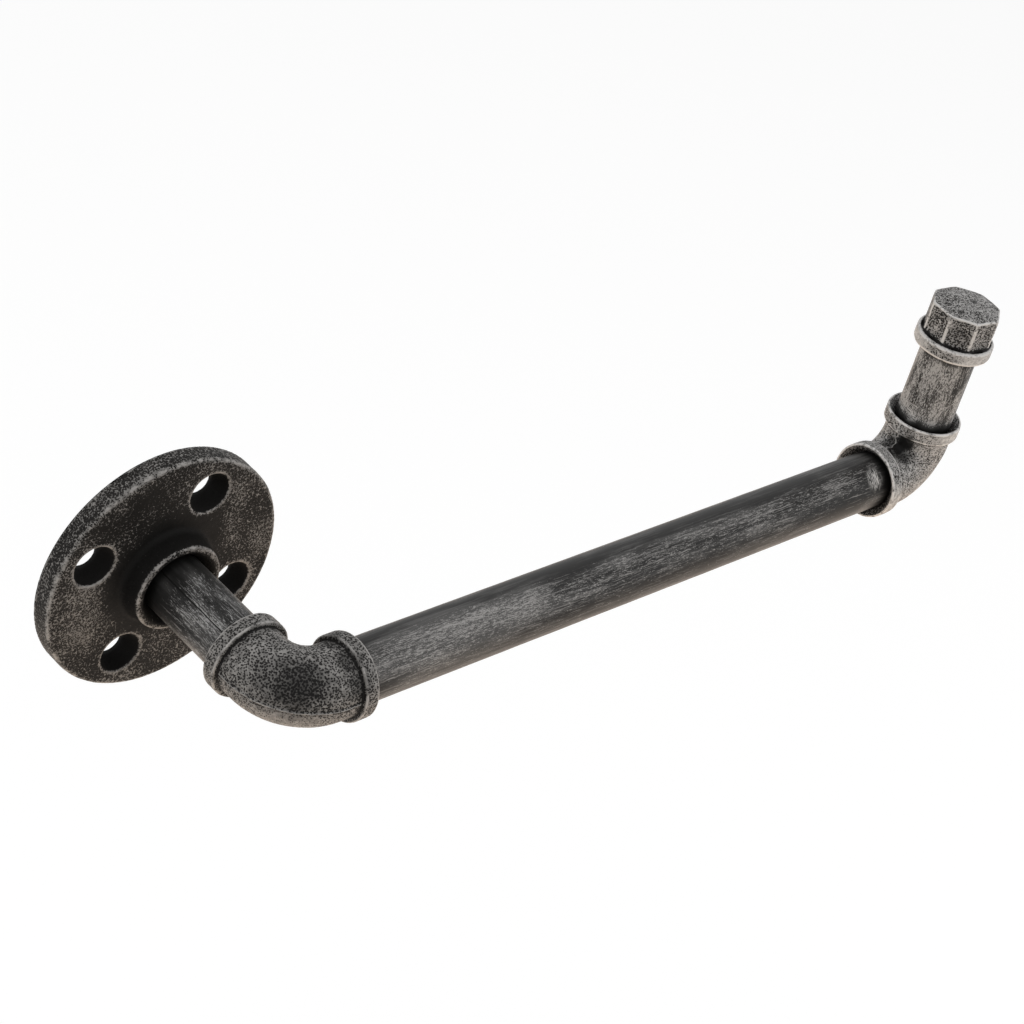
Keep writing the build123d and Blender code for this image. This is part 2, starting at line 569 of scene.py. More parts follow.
class NodeSheet:
    """Adds and joins nodes in one node tree."""

    def __init__(self, tree: bpy.types.NodeTree) -> None:
        """Takes the tree that the nodes go into."""
        self.tree = tree

    def feed(self, socket: Socket, value: object) -> None:
        """Links a socket to another one, or sets its value."""
        if isinstance(value, Socket):
            self.tree.links.new(value, socket)
        else:
            socket.default_value = value

    def add(
        self, kind: str, inputs: dict[int | str, object] | None = None, **settings: object
    ) -> bpy.types.Node:
        """Adds a node.

        Args:
            kind: Type of the node.
            inputs: Values or sockets for its inputs, by number or by name.
            settings: Values of its properties.

        Returns:
            The new node.
        """
        node = self.tree.nodes.new(kind)
        for key, value in settings.items():
            setattr(node, key, value)
        for key, value in (inputs or {}).items():
            self.feed(node.inputs[key], value)
        return node

    def math(self, operation: str, *values: object) -> Socket:
        """Result of one sum on numbers."""
        return self.add("ShaderNodeMath", dict(enumerate(values)), operation=operation).outputs[0]

    def vector(self, operation: str, *values: object) -> Socket:
        """Result of one sum on vectors."""
        node = self.add("ShaderNodeVectorMath", dict(enumerate(values)), operation=operation)
        return node.outputs["Vector"]

    def triple(self, *values: object) -> Socket:
        """Vector of three numbers."""
        return self.add("ShaderNodeCombineXYZ", dict(enumerate(values))).outputs["Vector"]

    def ramp(self, value: object, low: object, high: object, start: float = 0.0, end: float = 1.0) -> Socket:
        """Smooth step from start at low to end at high."""
        inputs = dict(enumerate((value, low, high, start, end)))
        return self.add("ShaderNodeMapRange", inputs, interpolation_type="SMOOTHSTEP").outputs["Result"]

    def noise(self, vector: object, scale: object, detail: float, output: str = "Fac") -> Socket:
        """Soft random pattern with so many features in a metre."""
        inputs = {"Vector": vector, "Scale": scale, "Detail": detail}
        return self.add("ShaderNodeTexNoise", inputs).outputs[output]

    def stretched(self, vector: object, across: object, along: object, detail: float) -> Socket:
        """Soft random pattern with features of one size across the Z axis and another along it."""
        near, far = self.math("DIVIDE", 1.0, across), self.math("DIVIDE", 1.0, along)
        return self.noise(self.vector("MULTIPLY", vector, self.triple(near, near, far)), 1.0, detail)

    def cells(self, vector: object, scale: object) -> Socket:
        """Distance to the nearest of many scattered points, counted in cells."""
        inputs = {"Vector": vector, "Scale": scale}
        return self.add("ShaderNodeTexVoronoi", inputs, feature="F1").outputs["Distance"]

    def drift(self, vector: object, size: object, amount: object) -> Socket:
        """Place that wanders softly from a place, by an amount, over features of one size."""
        wander = self.noise(vector, self.math("DIVIDE", 1.0, size), 1.0, output="Color")
        shift = self.vector("SUBTRACT", wander, (0.5, 0.5, 0.5))
        return self.vector("ADD", vector, self.vector("MULTIPLY", shift, self.triple(amount, amount, amount)))

    def blend(self, first: object, second: object, share: float) -> Socket:
        """Weighted mean of two patterns, with the share of the second."""
        return self.math("ADD", self.math("MULTIPLY", first, 1 - share), self.math("MULTIPLY", second, share))

    def around(self, value: object, weight: object) -> Socket:
        """How far a pattern is from its mean of one half, times a weight."""
        return self.math("MULTIPLY", self.math("SUBTRACT", value, 0.5), weight)

    def total(self, first: object, *others: object) -> Socket:
        """Sum of several numbers."""
        for other in others:
            first = self.math("ADD", first, other)
        return first

    def mix(self, share: object, low: object, high: object) -> Socket:
        """Colour between two colours."""
        return self.add("ShaderNodeMix", {0: share, 6: low, 7: high}, data_type="RGBA").outputs[2]

    def brushed(self, field: object, level: object, softness: object, reach: object) -> Socket:
        """Mask of what stands above a level, where the brush could reach."""
        low, high = self.math("SUBTRACT", level, softness), self.math("ADD", level, softness)
        return self.math("MULTIPLY", self.ramp(field, low, high), self.ramp(reach, 0.0, FULL_REACH))

    def attribute(self, name: str) -> Socket:
        """Number that the mesh keeps for each vertex."""
        return self.add("ShaderNodeAttribute", attribute_name=name).outputs["Fac"]

    def on_piece(self) -> Socket:
        """Place on a piece, in the piece's own coordinates."""
        return self.add("ShaderNodeTexCoord").outputs["Object"]


class Effect:
    """A shader node group with the masks of a brushed pattern, which more than one finish uses.

    It takes the place on the piece, settings that a finish holds under the same names and measures that the
    mesh keeps under the same names.
    """

    def __init__(self, name: str, settings: tuple[str, ...], measures: tuple[str, ...]) -> None:
        """Starts the group with its sockets.

        Args:
            name: Name of the group.
            settings: Names of the numbers that a finish gives.
            measures: Names of the numbers that the mesh gives for each vertex.
        """
        self.settings, self.measures = settings, measures
        self.tree = bpy.data.node_groups.new(name, "ShaderNodeTree")
        self.sheet = NodeSheet(self.tree)
        sockets = [("place", "INPUT", "NodeSocketVector")]
        sockets += [(label, "INPUT", "NodeSocketFloat") for label in (*settings, *measures)]
        sockets += [(label, "OUTPUT", "NodeSocketFloat") for label in Brush._fields]
        for label, side, kind in sockets:
            self.tree.interface.new_socket(name=label, in_out=side, socket_type=kind)
        self.source = self.sheet.add("NodeGroupInput").outputs
        self.sink = self.sheet.add("NodeGroupOutput").inputs

    def put_out(self, brush: Brush) -> None:
        """Feeds the group's outputs with the masks of a pattern."""
        for label, mask in brush._asdict().items():
            self.sheet.feed(self.sink[label], mask)

    def lay(self, sheet: NodeSheet, place: Socket, finish: object) -> Brush:
        """Puts the group into a material.

        Args:
            sheet: Nodes of the material.
            place: Place on the piece.
            finish: Holder of the settings.

        Returns:
            The masks of the pattern.
        """
        inputs: dict[int | str, object] = {"place": place}
        inputs |= {label: getattr(finish, label) for label in self.settings}
        inputs |= {label: sheet.attribute(label) for label in self.measures}
        outputs = sheet.add("ShaderNodeGroup", inputs, node_tree=self.tree).outputs
        return Brush(*(outputs[label] for label in Brush._fields))


@dataclass(frozen=True)
class CastBrush:
    """Silver that a nearly dry brush leaves between the pits of a sand casting."""

    pit_drift: float = 0.3
    fine_density: float = 2.6
    tone_density: float = 0.4
    relief_weight: float = 0.12
    wear_weight: float = 0.34
    bare_weight: float = 0.3
    worn: Pair = (0.35, 0.9)
    patches: Pair = (0.3, 0.7)
    dullest: float = 0.6

    def effect(self) -> Effect:
        """Builds the node group.

        Returns:
            Effect with the masks of the silver, the film round it and worn edges, and the grain's height.
        """
        settings = ("grain", "fineness", "level", "softness", "patch", "patchiness")
        effect = Effect("cast_brush", settings, (REACH_AND_SHADE, WEAR, RELIEF))
        sheet, source = effect.sheet, effect.source
        place, grain, wear, reach = (source[label] for label in ("place", "grain", WEAR, REACH_AND_SHADE))
        density = sheet.math("DIVIDE", 1.0, grain)
        drifted = sheet.drift(place, grain, sheet.math("MULTIPLY", grain, self.pit_drift))
        pits = sheet.cells(drifted, density)
        fine = sheet.noise(place, sheet.math("MULTIPLY", density, self.fine_density), 2.0)
        cloud = sheet.noise(place, sheet.math("DIVIDE", 1.0, source["patch"]), 2.0)
        tone = sheet.noise(place, sheet.math("MULTIPLY", density, self.tone_density), 1.0)
        finer = sheet.math("MULTIPLY", sheet.math("SUBTRACT", fine, pits), source["fineness"])
        height = sheet.math("ADD", pits, finer)
        field = sheet.total(
            height,
            sheet.around(source[RELIEF], self.relief_weight),
            sheet.around(cloud, source["patchiness"]),
            sheet.math("MULTIPLY", wear, self.wear_weight),
            sheet.math("MULTIPLY", sheet.math("SUBTRACT", reach, 1.0), self.bare_weight),
        )
        brushed = sheet.brushed(field, source["level"], source["softness"], reach)
        worn = sheet.ramp(wear, *self.worn)
        tones = sheet.ramp(tone, *self.patches, self.dullest, 1.0)
        silver = sheet.math("MULTIPLY", brushed, sheet.math("MAXIMUM", worn, tones))
        film = sheet.math("MULTIPLY", sheet.ramp(cloud, *self.patches), reach)
        effect.put_out(Brush(silver, film, sheet.math("MULTIPLY", silver, worn), height))
        return effect


@dataclass(frozen=True)
class PipeBrush:
    """Silver dashes that run along a pipe, over streaks and clouds of a thin grey film.

    A pair of lengths is the size of a pattern across the pipe and along it.
    """

    sway_size: float = 3 * MM
    speck: float = 0.4 * MM
    speck_share: float = 0.35
    streak: Pair = (0.9 * MM, 24 * MM)
    cloud_share: float = 0.35
    bare_weight: float = 0.3
    stroke: Pair = (0.4 * MM, 15 * MM)
    stroke_mask: Pair = (0.6, 0.74)
    stroke_silver: float = 0.8
    stroke_reach: Pair = (0.25, 0.8)
    scratch: Pair = (3 * MM, 0.35 * MM)
    scratch_mask: Pair = (0.45, 0.56)
    film_weight: float = 0.35
    film_mask: Pair = (0.38, 0.66)

    def effect(self) -> Effect:
        """Builds the node group.

        Returns:
            Effect with the masks of the dashes, the film and rubbed spots, and the dashes' height.
        """
        settings = ("width", "length", "sway", "level", "softness", "patch", "patchiness", "streaks")
        effect = Effect("pipe_brush", settings, (REACH_AND_SHADE, FILM, RUB))
        sheet, source = effect.sheet, effect.source
        place, patch, reach = (source[label] for label in ("place", "patch", REACH_AND_SHADE))
        swayed = sheet.drift(place, self.sway_size, source["sway"])
        dashes = sheet.stretched(swayed, source["width"], source["length"], 2.0)
        speck = sheet.noise(place, 1 / self.speck, 1.0)
        streaks = sheet.stretched(swayed, *self.streak, 2.0)
        cloud = sheet.stretched(swayed, patch, sheet.math("DIVIDE", patch, self.cloud_share), 2.5)
        streaked = sheet.math("MULTIPLY", sheet.math("SUBTRACT", streaks, cloud), source["streaks"])
        broad = sheet.math("ADD", cloud, streaked)
        height = sheet.blend(dashes, speck, self.speck_share)
        field = sheet.total(
            height,
            sheet.around(broad, source["patchiness"]),
            sheet.math("MULTIPLY", sheet.math("SUBTRACT", reach, 1.0), self.bare_weight),
        )
        dashed = sheet.brushed(field, source["level"], source["softness"], reach)
        strokes = sheet.stretched(swayed, *self.stroke, 1.0)
        scored = sheet.ramp(strokes, *self.stroke_mask, 0.0, self.stroke_silver)
        scored = sheet.math("MULTIPLY", scored, sheet.ramp(reach, *self.stroke_reach))
        scratches = sheet.ramp(sheet.stretched(swayed, *self.scratch, 1.5), *self.scratch_mask)
        rubbed = sheet.math("MULTIPLY", scratches, source[RUB])
        silver = sheet.math("MAXIMUM", sheet.math("MAXIMUM", dashed, scored), rubbed)
        filmed = sheet.total(broad, sheet.around(source[FILM], self.film_weight))
        effect.put_out(Brush(silver, sheet.ramp(filmed, *self.film_mask), rubbed, height))
        return effect


@dataclass(frozen=True)
class Coat:
    """Colours and gloss of the black ground, of the film on it, of the silver, of rubbed silver and of
    painted shade.
    """

    ground: Colour = (0.0105, 0.0095, 0.0088, 1.0)
    film: Colour = (0.034, 0.032, 0.030, 1.0)
    silver: Colour = (0.30, 0.29, 0.28, 1.0)
    # Near black that painted shade, and the cap's dark pits, turn the finish to
    soot: Colour = (0.003, 0.0028, 0.0026, 1.0)
    shine: float = 1.35
    ground_roughness: float = 0.62
    silver_roughness: float = 0.5
    silver_metal: float = 0.15
    specular: float = 0.14

    def lay(self, name: str, pattern: Callable[[NodeSheet], Brush], depth: float) -> bpy.types.Material:
        """Builds a material from the masks of a brushed pattern.

        Args:
            name: Name of the material.
            pattern: Adds the pattern to a sheet and returns its masks.
            depth: Depth of the bump at full height.

        Returns:
            The material.
        """
        material = bpy.data.materials.new(name)
        material.use_nodes = True
        sheet = NodeSheet(material.node_tree)
        shader = material.node_tree.nodes["Principled BSDF"]
        silver, film, rubbed, height = pattern(sheet)
        bright = (*(self.shine * channel for channel in self.silver[:3]), 1.0)
        soot = sheet.attribute(SHADE_AND_PITS)
        bump = sheet.add("ShaderNodeBump", {"Strength": 1.0, "Distance": depth, "Height": height})
        dark = sheet.mix(film, self.ground, self.film)
        painted = sheet.mix(silver, dark, sheet.mix(rubbed, self.silver, bright))
        # Painted shade: mixes the finish towards near black by the mesh's measure
        sheet.feed(shader.inputs["Base Color"], sheet.mix(soot, painted, self.soot))
        roughness = sheet.ramp(silver, 0.0, 1.0, self.ground_roughness, self.silver_roughness)
        sheet.feed(shader.inputs["Roughness"], roughness)
        sheet.feed(shader.inputs["Metallic"], sheet.math("MULTIPLY", silver, self.silver_metal))
        shader.inputs["Specular IOR Level"].default_value = self.specular
        sheet.feed(shader.inputs["Normal"], bump.outputs["Normal"])
        return material


PIPE_COAT = Coat(
    ground=(0.012, 0.0115, 0.011, 1.0),
    film=(0.085, 0.083, 0.081, 1.0),
    silver=(0.335, 0.325, 0.315, 1.0),
    shine=1.6,
    ground_roughness=0.45,
    silver_roughness=0.5,
    silver_metal=0.1,
    specular=0.17,
)


@dataclass(frozen=True)
class CastFinish:
    """Dry-brushed silver on a sand casting."""

    name: str
    effect: Effect
    grain: float = 1.0 * MM
    fineness: float = 0.5
    level: float = 0.5
    softness: float = 0.07
    patch: float = 14 * MM
    patchiness: float = 0.2
    depth: float = 0.12 * MM
    coat: Coat = Coat()

    def material(self) -> bpy.types.Material:
        """Builds the finish as a material."""

        def pattern(sheet: NodeSheet) -> Brush:
            """Adds the brushed casting and returns its masks."""
            return self.effect.lay(sheet, sheet.on_piece(), self)

        return self.coat.lay(self.name, pattern, self.depth)


@dataclass(frozen=True)
class PipeFinish:
    """Silver dashes along a pipe, over a thin grey film."""

    name: str
    effect: Effect
    level: float = 0.5
    softness: float = 0.1
    patch: float = 7 * MM
    patchiness: float = 0.4
    streaks: float = 0.45
    width: float = 0.28 * MM
    length: float = 2.2 * MM
    sway: float = 0.5 * MM
    depth: float = 0.03 * MM
    coat: Coat = PIPE_COAT

    def material(self, place: Place) -> bpy.types.Material:
        """Builds the finish as a material for a pipe.

        Args:
            place: End of the pipe, with its axis.

        Returns:
            The material.
        """

        def pattern(sheet: NodeSheet) -> Brush:
            """Adds the strokes, turned along the pipe, and returns their masks."""
            rotation = place.matrix().to_euler()
            inputs = {"Vector": sheet.on_piece(), "Location": place.origin, "Rotation": rotation}
            lie = sheet.add("ShaderNodeMapping", inputs, vector_type="TEXTURE")
            return self.effect.lay(sheet, lie.outputs["Vector"], self)

        return self.coat.lay(self.name, pattern, self.depth)


# Pieces of the holder


@dataclass(frozen=True)
class PipeStock:
    """The pipe that all three lengths are cut from, with its thread."""

    radius: float
    wall: float = 2.6 * MM
    pitch: float = 1.814 * MM
    depth: float = 1.16 * MM
    turns: int = 5
    gap: float = 0.3 * MM
    end_gap: float = 0.5 * MM

    @property
    def bore(self) -> float:
        """Radius of the pipe's bore."""
        return self.radius - self.wall

    @property
    def root(self) -> float:
        """Radius at the bottom of the thread."""
        return self.radius - self.depth

    @property
    def thread_length(self) -> float:
        """Length of the threaded end."""
        return (self.turns + 0.5) * self.pitch

    def thread(self, start: float, gap: float) -> list[Corner]:
        """Corners of the thread's rings from a pipe's end at start, widened by a gap."""
        corners = []
        for ring in range(self.turns + 1):
            height = start + ring * self.pitch
            corners.append(Corner(self.root + gap, height))
            corners.append(Corner(self.radius + gap, height + self.pitch / 2))
        return corners

    def socket(self, floor: float, mouth: list[Corner]) -> list[Corner]:
        """Outline of the hole that takes a pipe, from its floor on the axis to its mouth."""
        top = mouth[-1].height + OVER
        foot = [Corner(0, floor), Corner(self.root + self.gap, floor)]
        rise = self.thread(floor + self.end_gap, self.gap)
        return [*foot, *rise, *mouth, Corner(mouth[-1].radius, top), Corner(0, top)]


@dataclass(frozen=True)
class PipeSpot:
    """A spot on a pipe with more silver or more film: its place, size and strength."""

    height: float
    angle: float
    length: float
    width: float
    strength: float = 1.0
    fade: Pair = (0.35, 1.0)

    def share(self, height: np.ndarray, angle: np.ndarray, radius: float) -> np.ndarray:
        """How strongly the spot shows at each point of the pipe's skin."""
        off = (angle - self.angle + 180) % 360 - 180
        away = np.hypot((height - self.height) / self.length, np.radians(off) * radius / self.width)
        return self.strength * (1 - ramp(away, *self.fade))


@dataclass
class ThreadedPipe:
    """A pipe threaded at both ends, with the seam where its strip was welded shut."""

    name: str
    seat: Seat
    foot: Place
    length: float
    stock: PipeStock
    finish: PipeFinish
    # Silver by angle round the pipe; on the arm it also paints shade and light by the way each side faces
    coverage_and_shade: tuple[Pair, ...] = ((0.0, 0.6),)
    rubbed: tuple[PipeSpot, ...] = ()
    filmed: tuple[PipeSpot, ...] = ()
    film: float = 0.4
    film_reach: float = 0.35
    # Painted shadow near each end, where the pipe goes into a fitting: full up to the first distance from the
    # thread, gone at the second
    foot_dark: Pair = (0.0, 2.6 * MM)
    top_dark: Pair = (0.0, 2.6 * MM)
    segments: int = 144
    step: float = 1.6 * MM
    seam_width: float = 0.55 * MM
    seam_depth: float = 0.28 * MM
    wave: float = 9 * MM
    wave_depth: float = 0.07 * MM
    # How dark the painted shadow at the ends and the painted shade in the bore are
    end_shade: float = 0.8
    bore_shade: float = 0.9
    smooth_angle: float = 50.0

    def build(self) -> Piece:
        """Turns the pipe, presses its seam in and dresses it.

        Returns:
            The finished piece.
        """
        stock = self.stock
        lower = stock.thread(0, 0)
        upper = [Corner(corner.radius, self.length - corner.height) for corner in reversed(lower)]
        outline = [Corner(stock.bore, 0), *lower, *upper, Corner(stock.bore, self.length)]
        piece = turn(self.name, self.foot, outline, self.segments, self.step, closed=True)
        self.press_seam(piece)
        self.dress(piece)
        self.seat.hand_over(piece)
        return piece

    def press_seam(self, piece: Piece) -> None:
        """Splits the line where the turning began into a narrow groove."""
        foot, stock = self.foot, self.stock
        low, high = stock.thread_length - MERGE, self.length - stock.thread_length + MERGE

        def on_seam(spot: Vector) -> bool:
            """Whether a vertex lies on the seam, between the threads."""
            rel = spot - foot.origin
            height = rel.dot(foot.along)
            return low < height < high and (spot - foot.point(stock.radius, height)).length < MERGE

        only(piece)
        bpy.ops.object.mode_set(mode="EDIT")
        pick(piece, on_seam)
        bpy.ops.mesh.bevel(offset=self.seam_width / 2, segments=2, affect="EDGES")
        pick(piece, on_seam)
        bpy.ops.transform.translate(value=-self.seam_depth * foot.side)
        close_up(piece)

    def dress(self, piece: Piece) -> None:
        """Gives the pipe its slight waves, its measures, with painted shadow at its ends, and its finish."""
        rel = self.foot.local(spots(piece))
        radius = np.hypot(rel[:, 0], rel[:, 1])
        free = (rel[:, 2] > self.stock.thread_length) & (rel[:, 2] < self.length - self.stock.thread_length)
        outside = free & (radius > self.stock.radius - self.seam_depth / 2)
        group(piece, SKIN, outside)
        roughen(piece, "pipe_waves", self.wave, self.wave_depth)
        angle = np.degrees(np.arctan2(rel[:, 1], rel[:, 0])) % 360
        around, covered = zip(*self.coverage_and_shade)
        low = rel[:, 2] - self.stock.thread_length
        high = self.length - self.stock.thread_length - rel[:, 2]
        # Painted shadow at both ends, where the pipe goes into a fitting
        unshaded = ramp(low, *self.foot_dark) * ramp(high, *self.top_dark)
        none = np.zeros(len(rel))
        rub, film = (
            sum((spot.share(rel[:, 2], angle, self.stock.radius) for spot in chosen), none)
            for chosen in (self.rubbed, self.filmed)
        )
        reach = (np.interp(angle, around, covered, period=360) + self.film_reach * film) * unshaded
        keep(piece, REACH_AND_SHADE, np.where(outside, reach, 0.0))
        keep(piece, RUB, np.where(outside, rub, 0.0))
        keep(piece, FILM, np.where(outside, self.film + film, 0.0))
        # Painted shade: the ends' shadow outside, and the bore dark inside
        keep(piece, SHADE_AND_PITS, np.where(outside, self.end_shade * (1 - unshaded), self.bore_shade))
        piece.data.materials.append(self.finish.material(self.foot))
        only(piece)
        bpy.ops.object.shade_smooth_by_angle(angle=math.radians(self.smooth_angle))


@dataclass(kw_only=True)
class Casting:
    """What all cast fittings share: their seat, finish and the grain of the sand mould."""

    name: str
    seat: Seat
    stock: PipeStock
    finish: CastFinish
    grain: float = 0.8 * MM
    grain_depth: float = 0.12 * MM
    wave: float = 7 * MM
    wave_depth: float = 0.16 * MM
    softening: float = 0.5
    soft_rounds: int = 3
    smooth_angle: float = 60.0
    # Silver on edges, and less silver and painted shade in creases
    edge_bend: Pair = (130.0, 430.0)
    crease_bend: Pair = (120.0, 900.0)
    crease_shade: float = 0.45
    edge_whole: float = 0.85
    edge_least: float = 0.3
    edge_breaks: tuple[Pair, ...] = ((3.2 * MM, 0.9), (0.9 * MM, 0.7))
    crease_bare: float = 0.8
    # Spots of painted shade; on the cap two of them are real dark pits
    shades: tuple[Shade, ...] = ()
    # Spots of rubbed silver; on the elbows' lower sides they are partly a painted highlight of light from
    # below
    rubbed: tuple[Shade, ...] = ()

    def melt(self, piece: Piece, voxel: float) -> None:
        """Remeshes a piece evenly and softens it as a sand mould does."""
        apply(piece, "REMESH", mode="VOXEL", voxel_size=voxel)
        drop_crumbs(piece)
        apply(piece, "SMOOTH", factor=self.softening, iterations=self.soft_rounds)

    def dress(
        self, piece: Piece, skin: np.ndarray, soot: np.ndarray, reach: np.ndarray, wear: np.ndarray
    ) -> None:
        """Roughens a casting's skin and keeps its edges, creases and grain for the finish.

        Args:
            piece: Casting before its sand grain.
            skin: Which vertices lie on the outside, as numbers from 0 to 1.
            soot: How much painted shade each vertex has, from 0 to 1; on the cap it also holds dark pits.
            reach: How well the brush reached each vertex, from 0 to 1.
            wear: How much more silver each vertex has than its bend gives it.
        """
        bend = bending(piece, rounds=2)
        crease = ramp(-bend, *self.crease_bend)
        points = spots(piece)
        breaks = sum(depth * ragged(points, size) for size, depth in self.edge_breaks)
        whole = np.clip(self.edge_whole + breaks, self.edge_least * self.edge_whole, 1.0)
        keep(piece, WEAR, np.maximum(ramp(bend, *self.edge_bend) * whole, wear) * skin)
        keep(piece, REACH_AND_SHADE, reach * (1 - self.crease_bare * crease))
        # Painted shade in creases, besides the silver that the brush couldn't reach there
        keep(piece, SHADE_AND_PITS, np.maximum(soot, self.crease_shade * crease))
        group(piece, SKIN, skin > 0.5)
        roughen(piece, "mould_waves", self.wave, self.wave_depth)
        smooth = spots(piece)
        roughen(piece, "sand_grain", self.grain, self.grain_depth)
        sunk = np.linalg.norm(spots(piece) - smooth, axis=1) / self.grain_depth
        keep(piece, RELIEF, 1 - np.clip(sunk, 0, 1))

    def polish(self, piece: Piece) -> None:
        """Gives a casting its material and smooth shading, and hands it over."""
        piece.data.materials.clear()
        piece.data.materials.append(self.finish.material())
        only(piece)
        bpy.ops.object.shade_smooth_by_angle(angle=math.radians(self.smooth_angle))
        self.seat.hand_over(piece)


@dataclass(kw_only=True)
class Elbow(Casting):
    """A cast elbow with a rounded band at each mouth and the ridge of its parting line."""

    corner: Place
    reach: float
    band_radius: float
    wall: float = 1.65 * MM
    throat: float = 3.2 * MM
    bend_inner: float = 2.2 * MM
    band_width: float = 5.3 * MM
    band_round: float = 0.6 * MM
    band_crease: float = 0.35 * MM
    lip_round: float = 0.55 * MM
    mouth_rim: float = 0.9 * MM
    mouth_round: float = 0.25 * MM
    segments: int = 240
    step: float = 0.33 * MM
    bend_steps: int = 92
    bore_steps: int = 20
    # The parting ridge and how it wanders
    ridge: float = 0.42 * MM
    ridge_width: float = 0.9 * MM
    band_ridge: float = 0.12 * MM
    ridge_sway: float = 0.7 * MM
    ridge_wear: float = 0.8
    ridge_crest: Pair = (0.1 * MM, 0.4 * MM)
    ridge_slack: float = 0.1 * MM
    sway_inner: float = 0.4
    sway_band: Pair = (0.6 * MM, 2.4 * MM)
    sway_slack: float = 0.05 * MM
    sway_ease: float = 1.5 * MM
    sway_least: float = 0.2
    sway_length: float = 1.9 * MM
    sway_gain: float = 1.5
    # Painted shade beside the ridge, in the mouths and at the feet of the bands
    shade_patch: float = 2.5 * MM
    ridge_shade_aside: float = 0.85 * MM
    ridge_shade_width: float = 0.45 * MM
    ridge_shade_mean: float = 0.35
    ridge_shade_change: float = 0.6
    ridge_shade_most: float = 0.7
    mouth_painted_shade: float = 0.6
    mouth_shade: float = 2.6 * MM
    mouth_reach: float = 0.75
    band_foot_shade: float = 0.35
    foot_shade: float = 2.4 * MM
    skin_slack: float = 0.02 * MM
    soot_bare: float = 0.35
    rub_patch: float = 3 * MM

    @property
    def radius(self) -> float:
        """Outer radius of the elbow's body."""
        return self.stock.radius + self.stock.gap + self.wall

    @property
    def floor(self) -> float:
        """Distance of the socket's floor from the elbow's corner."""
        return self.stock.bore + self.throat

    @property
    def bend(self) -> float:
        """Radius of the bend at the middle of the body."""
        return self.radius + self.bend_inner

    def legs(self) -> tuple[Place, Place]:
        """Places of the two mouths' axes, both with the elbow's normal as their side."""
        corner = self.corner
        return (
            Place(corner.origin, corner.side, corner.along),
            Place(corner.origin, corner.across, corner.along),
        )

    def leg_outline(self) -> list[Corner]:
        """Outline of one leg, from the outside of the bend round the mouth to the bore."""
        foot = self.reach - self.band_width
        thread = self.stock.thread(self.floor + self.stock.end_gap, self.stock.gap)
        return [
            Corner(self.radius, self.bend),
            Corner(self.radius, foot, self.band_crease),
            Corner(self.band_radius, foot, self.band_round),
            Corner(self.band_radius, self.reach, self.lip_round),
            Corner(self.band_radius - self.mouth_rim, self.reach, self.mouth_round),
            *reversed(thread),
            Corner(self.stock.root + self.stock.gap, self.floor),
            Corner(self.stock.bore, self.floor),
        ]

    def shape(self) -> Piece:
        """Turns one leg, copies it to the other and spins the bend between them.

        Returns:
            The elbow before its sand grain.
        """
        first, second = self.legs()
        outline = self.leg_outline()
        leg = begin("plain_elbow")
        draw(first, outline, closed=False)
        round_corners(leg, first, outline)
        divide(leg, self.step, lambda spot: (spot - first.origin).dot(first.side) > self.radius - MERGE)
        bpy.ops.mesh.select_all(action="SELECT")
        spin(first, math.tau, self.segments)
        merge_doubles()
        bpy.ops.object.mode_set(mode="OBJECT")
        piece = join([leg, copy_to(leg, "other_leg", first, second)])
        bpy.ops.object.mode_set(mode="EDIT")
        self.spin_bend(piece, first, self.radius, self.bend, self.bend_steps)
        self.spin_bend(piece, first, self.stock.bore, self.floor, self.bore_steps)
        merge_doubles()
        bpy.ops.mesh.normals_make_consistent(inside=False)
        self.raise_ridge(piece)
        close_up(piece)
        self.sway_ridge(piece)
        return piece

    def spin_bend(self, piece: Piece, leg: Place, radius: float, height: float, steps: int) -> None:
        """Spins the open ring of one leg round the bend to the other leg.

        Args:
            piece: Elbow in edit mode.
            leg: Leg that the ring belongs to.
            radius: Radius of the ring.
            height: Distance of the ring from the corner, and radius of the bend.
            steps: Steps round the bend.
        """
        ring = leg.moved(height)

        def on_ring(spot: Vector) -> bool:
            """Whether a vertex lies on the ring."""
            rel = spot - ring.origin
            return abs(rel.dot(leg.along)) < MERGE and abs(rel.length - radius) < MERGE

        pick(piece, on_ring)
        corner = self.corner
        centre = corner.origin + height * (corner.side + corner.across)
        spin(Place(centre, corner.along, corner.side), -math.pi / 2, steps)

    def off_line(self, points: np.ndarray) -> np.ndarray:
        """Distance of points from the middle line of the elbow."""
        x, y, z = self.corner.local(points).T
        arc = np.abs(np.hypot(x - self.bend, y - self.bend) - self.bend)
        straight = np.where(x > y, y, x)
        in_bend = (x < self.bend) & (y < self.bend)
        return np.hypot(np.where(in_bend, arc, straight), z)

    def raise_ridge(self, piece: Piece) -> None:
        """Pulls up the parting line where the two halves of the mould met."""
        normal, origin = self.corner.along, self.corner.origin
        foot = self.reach - self.band_width - self.band_crease - MERGE

        def near_line(spot: Vector, half: float, on_band: bool) -> bool:
            """Whether a vertex lies on the outside, near the plane of both legs."""
            rel = spot - origin
            if abs(rel.dot(normal)) > half:
                return False
            if (max(rel.dot(self.corner.side), rel.dot(self.corner.across)) > foot) != on_band:
                return False
            radius = self.band_radius if on_band else self.radius
            return self.off_line(np.array(spot)[None])[0] > radius - self.ridge_slack

        steps = (
            (self.ridge_width / 2, False, self.ridge / 2),
            (MERGE, False, self.ridge / 2),
            (MERGE, True, self.band_ridge),
        )
        for half, on_band, rise in steps:
            pick(piece, lambda spot: near_line(spot, half, on_band))
            bpy.ops.transform.shrink_fatten(value=rise)

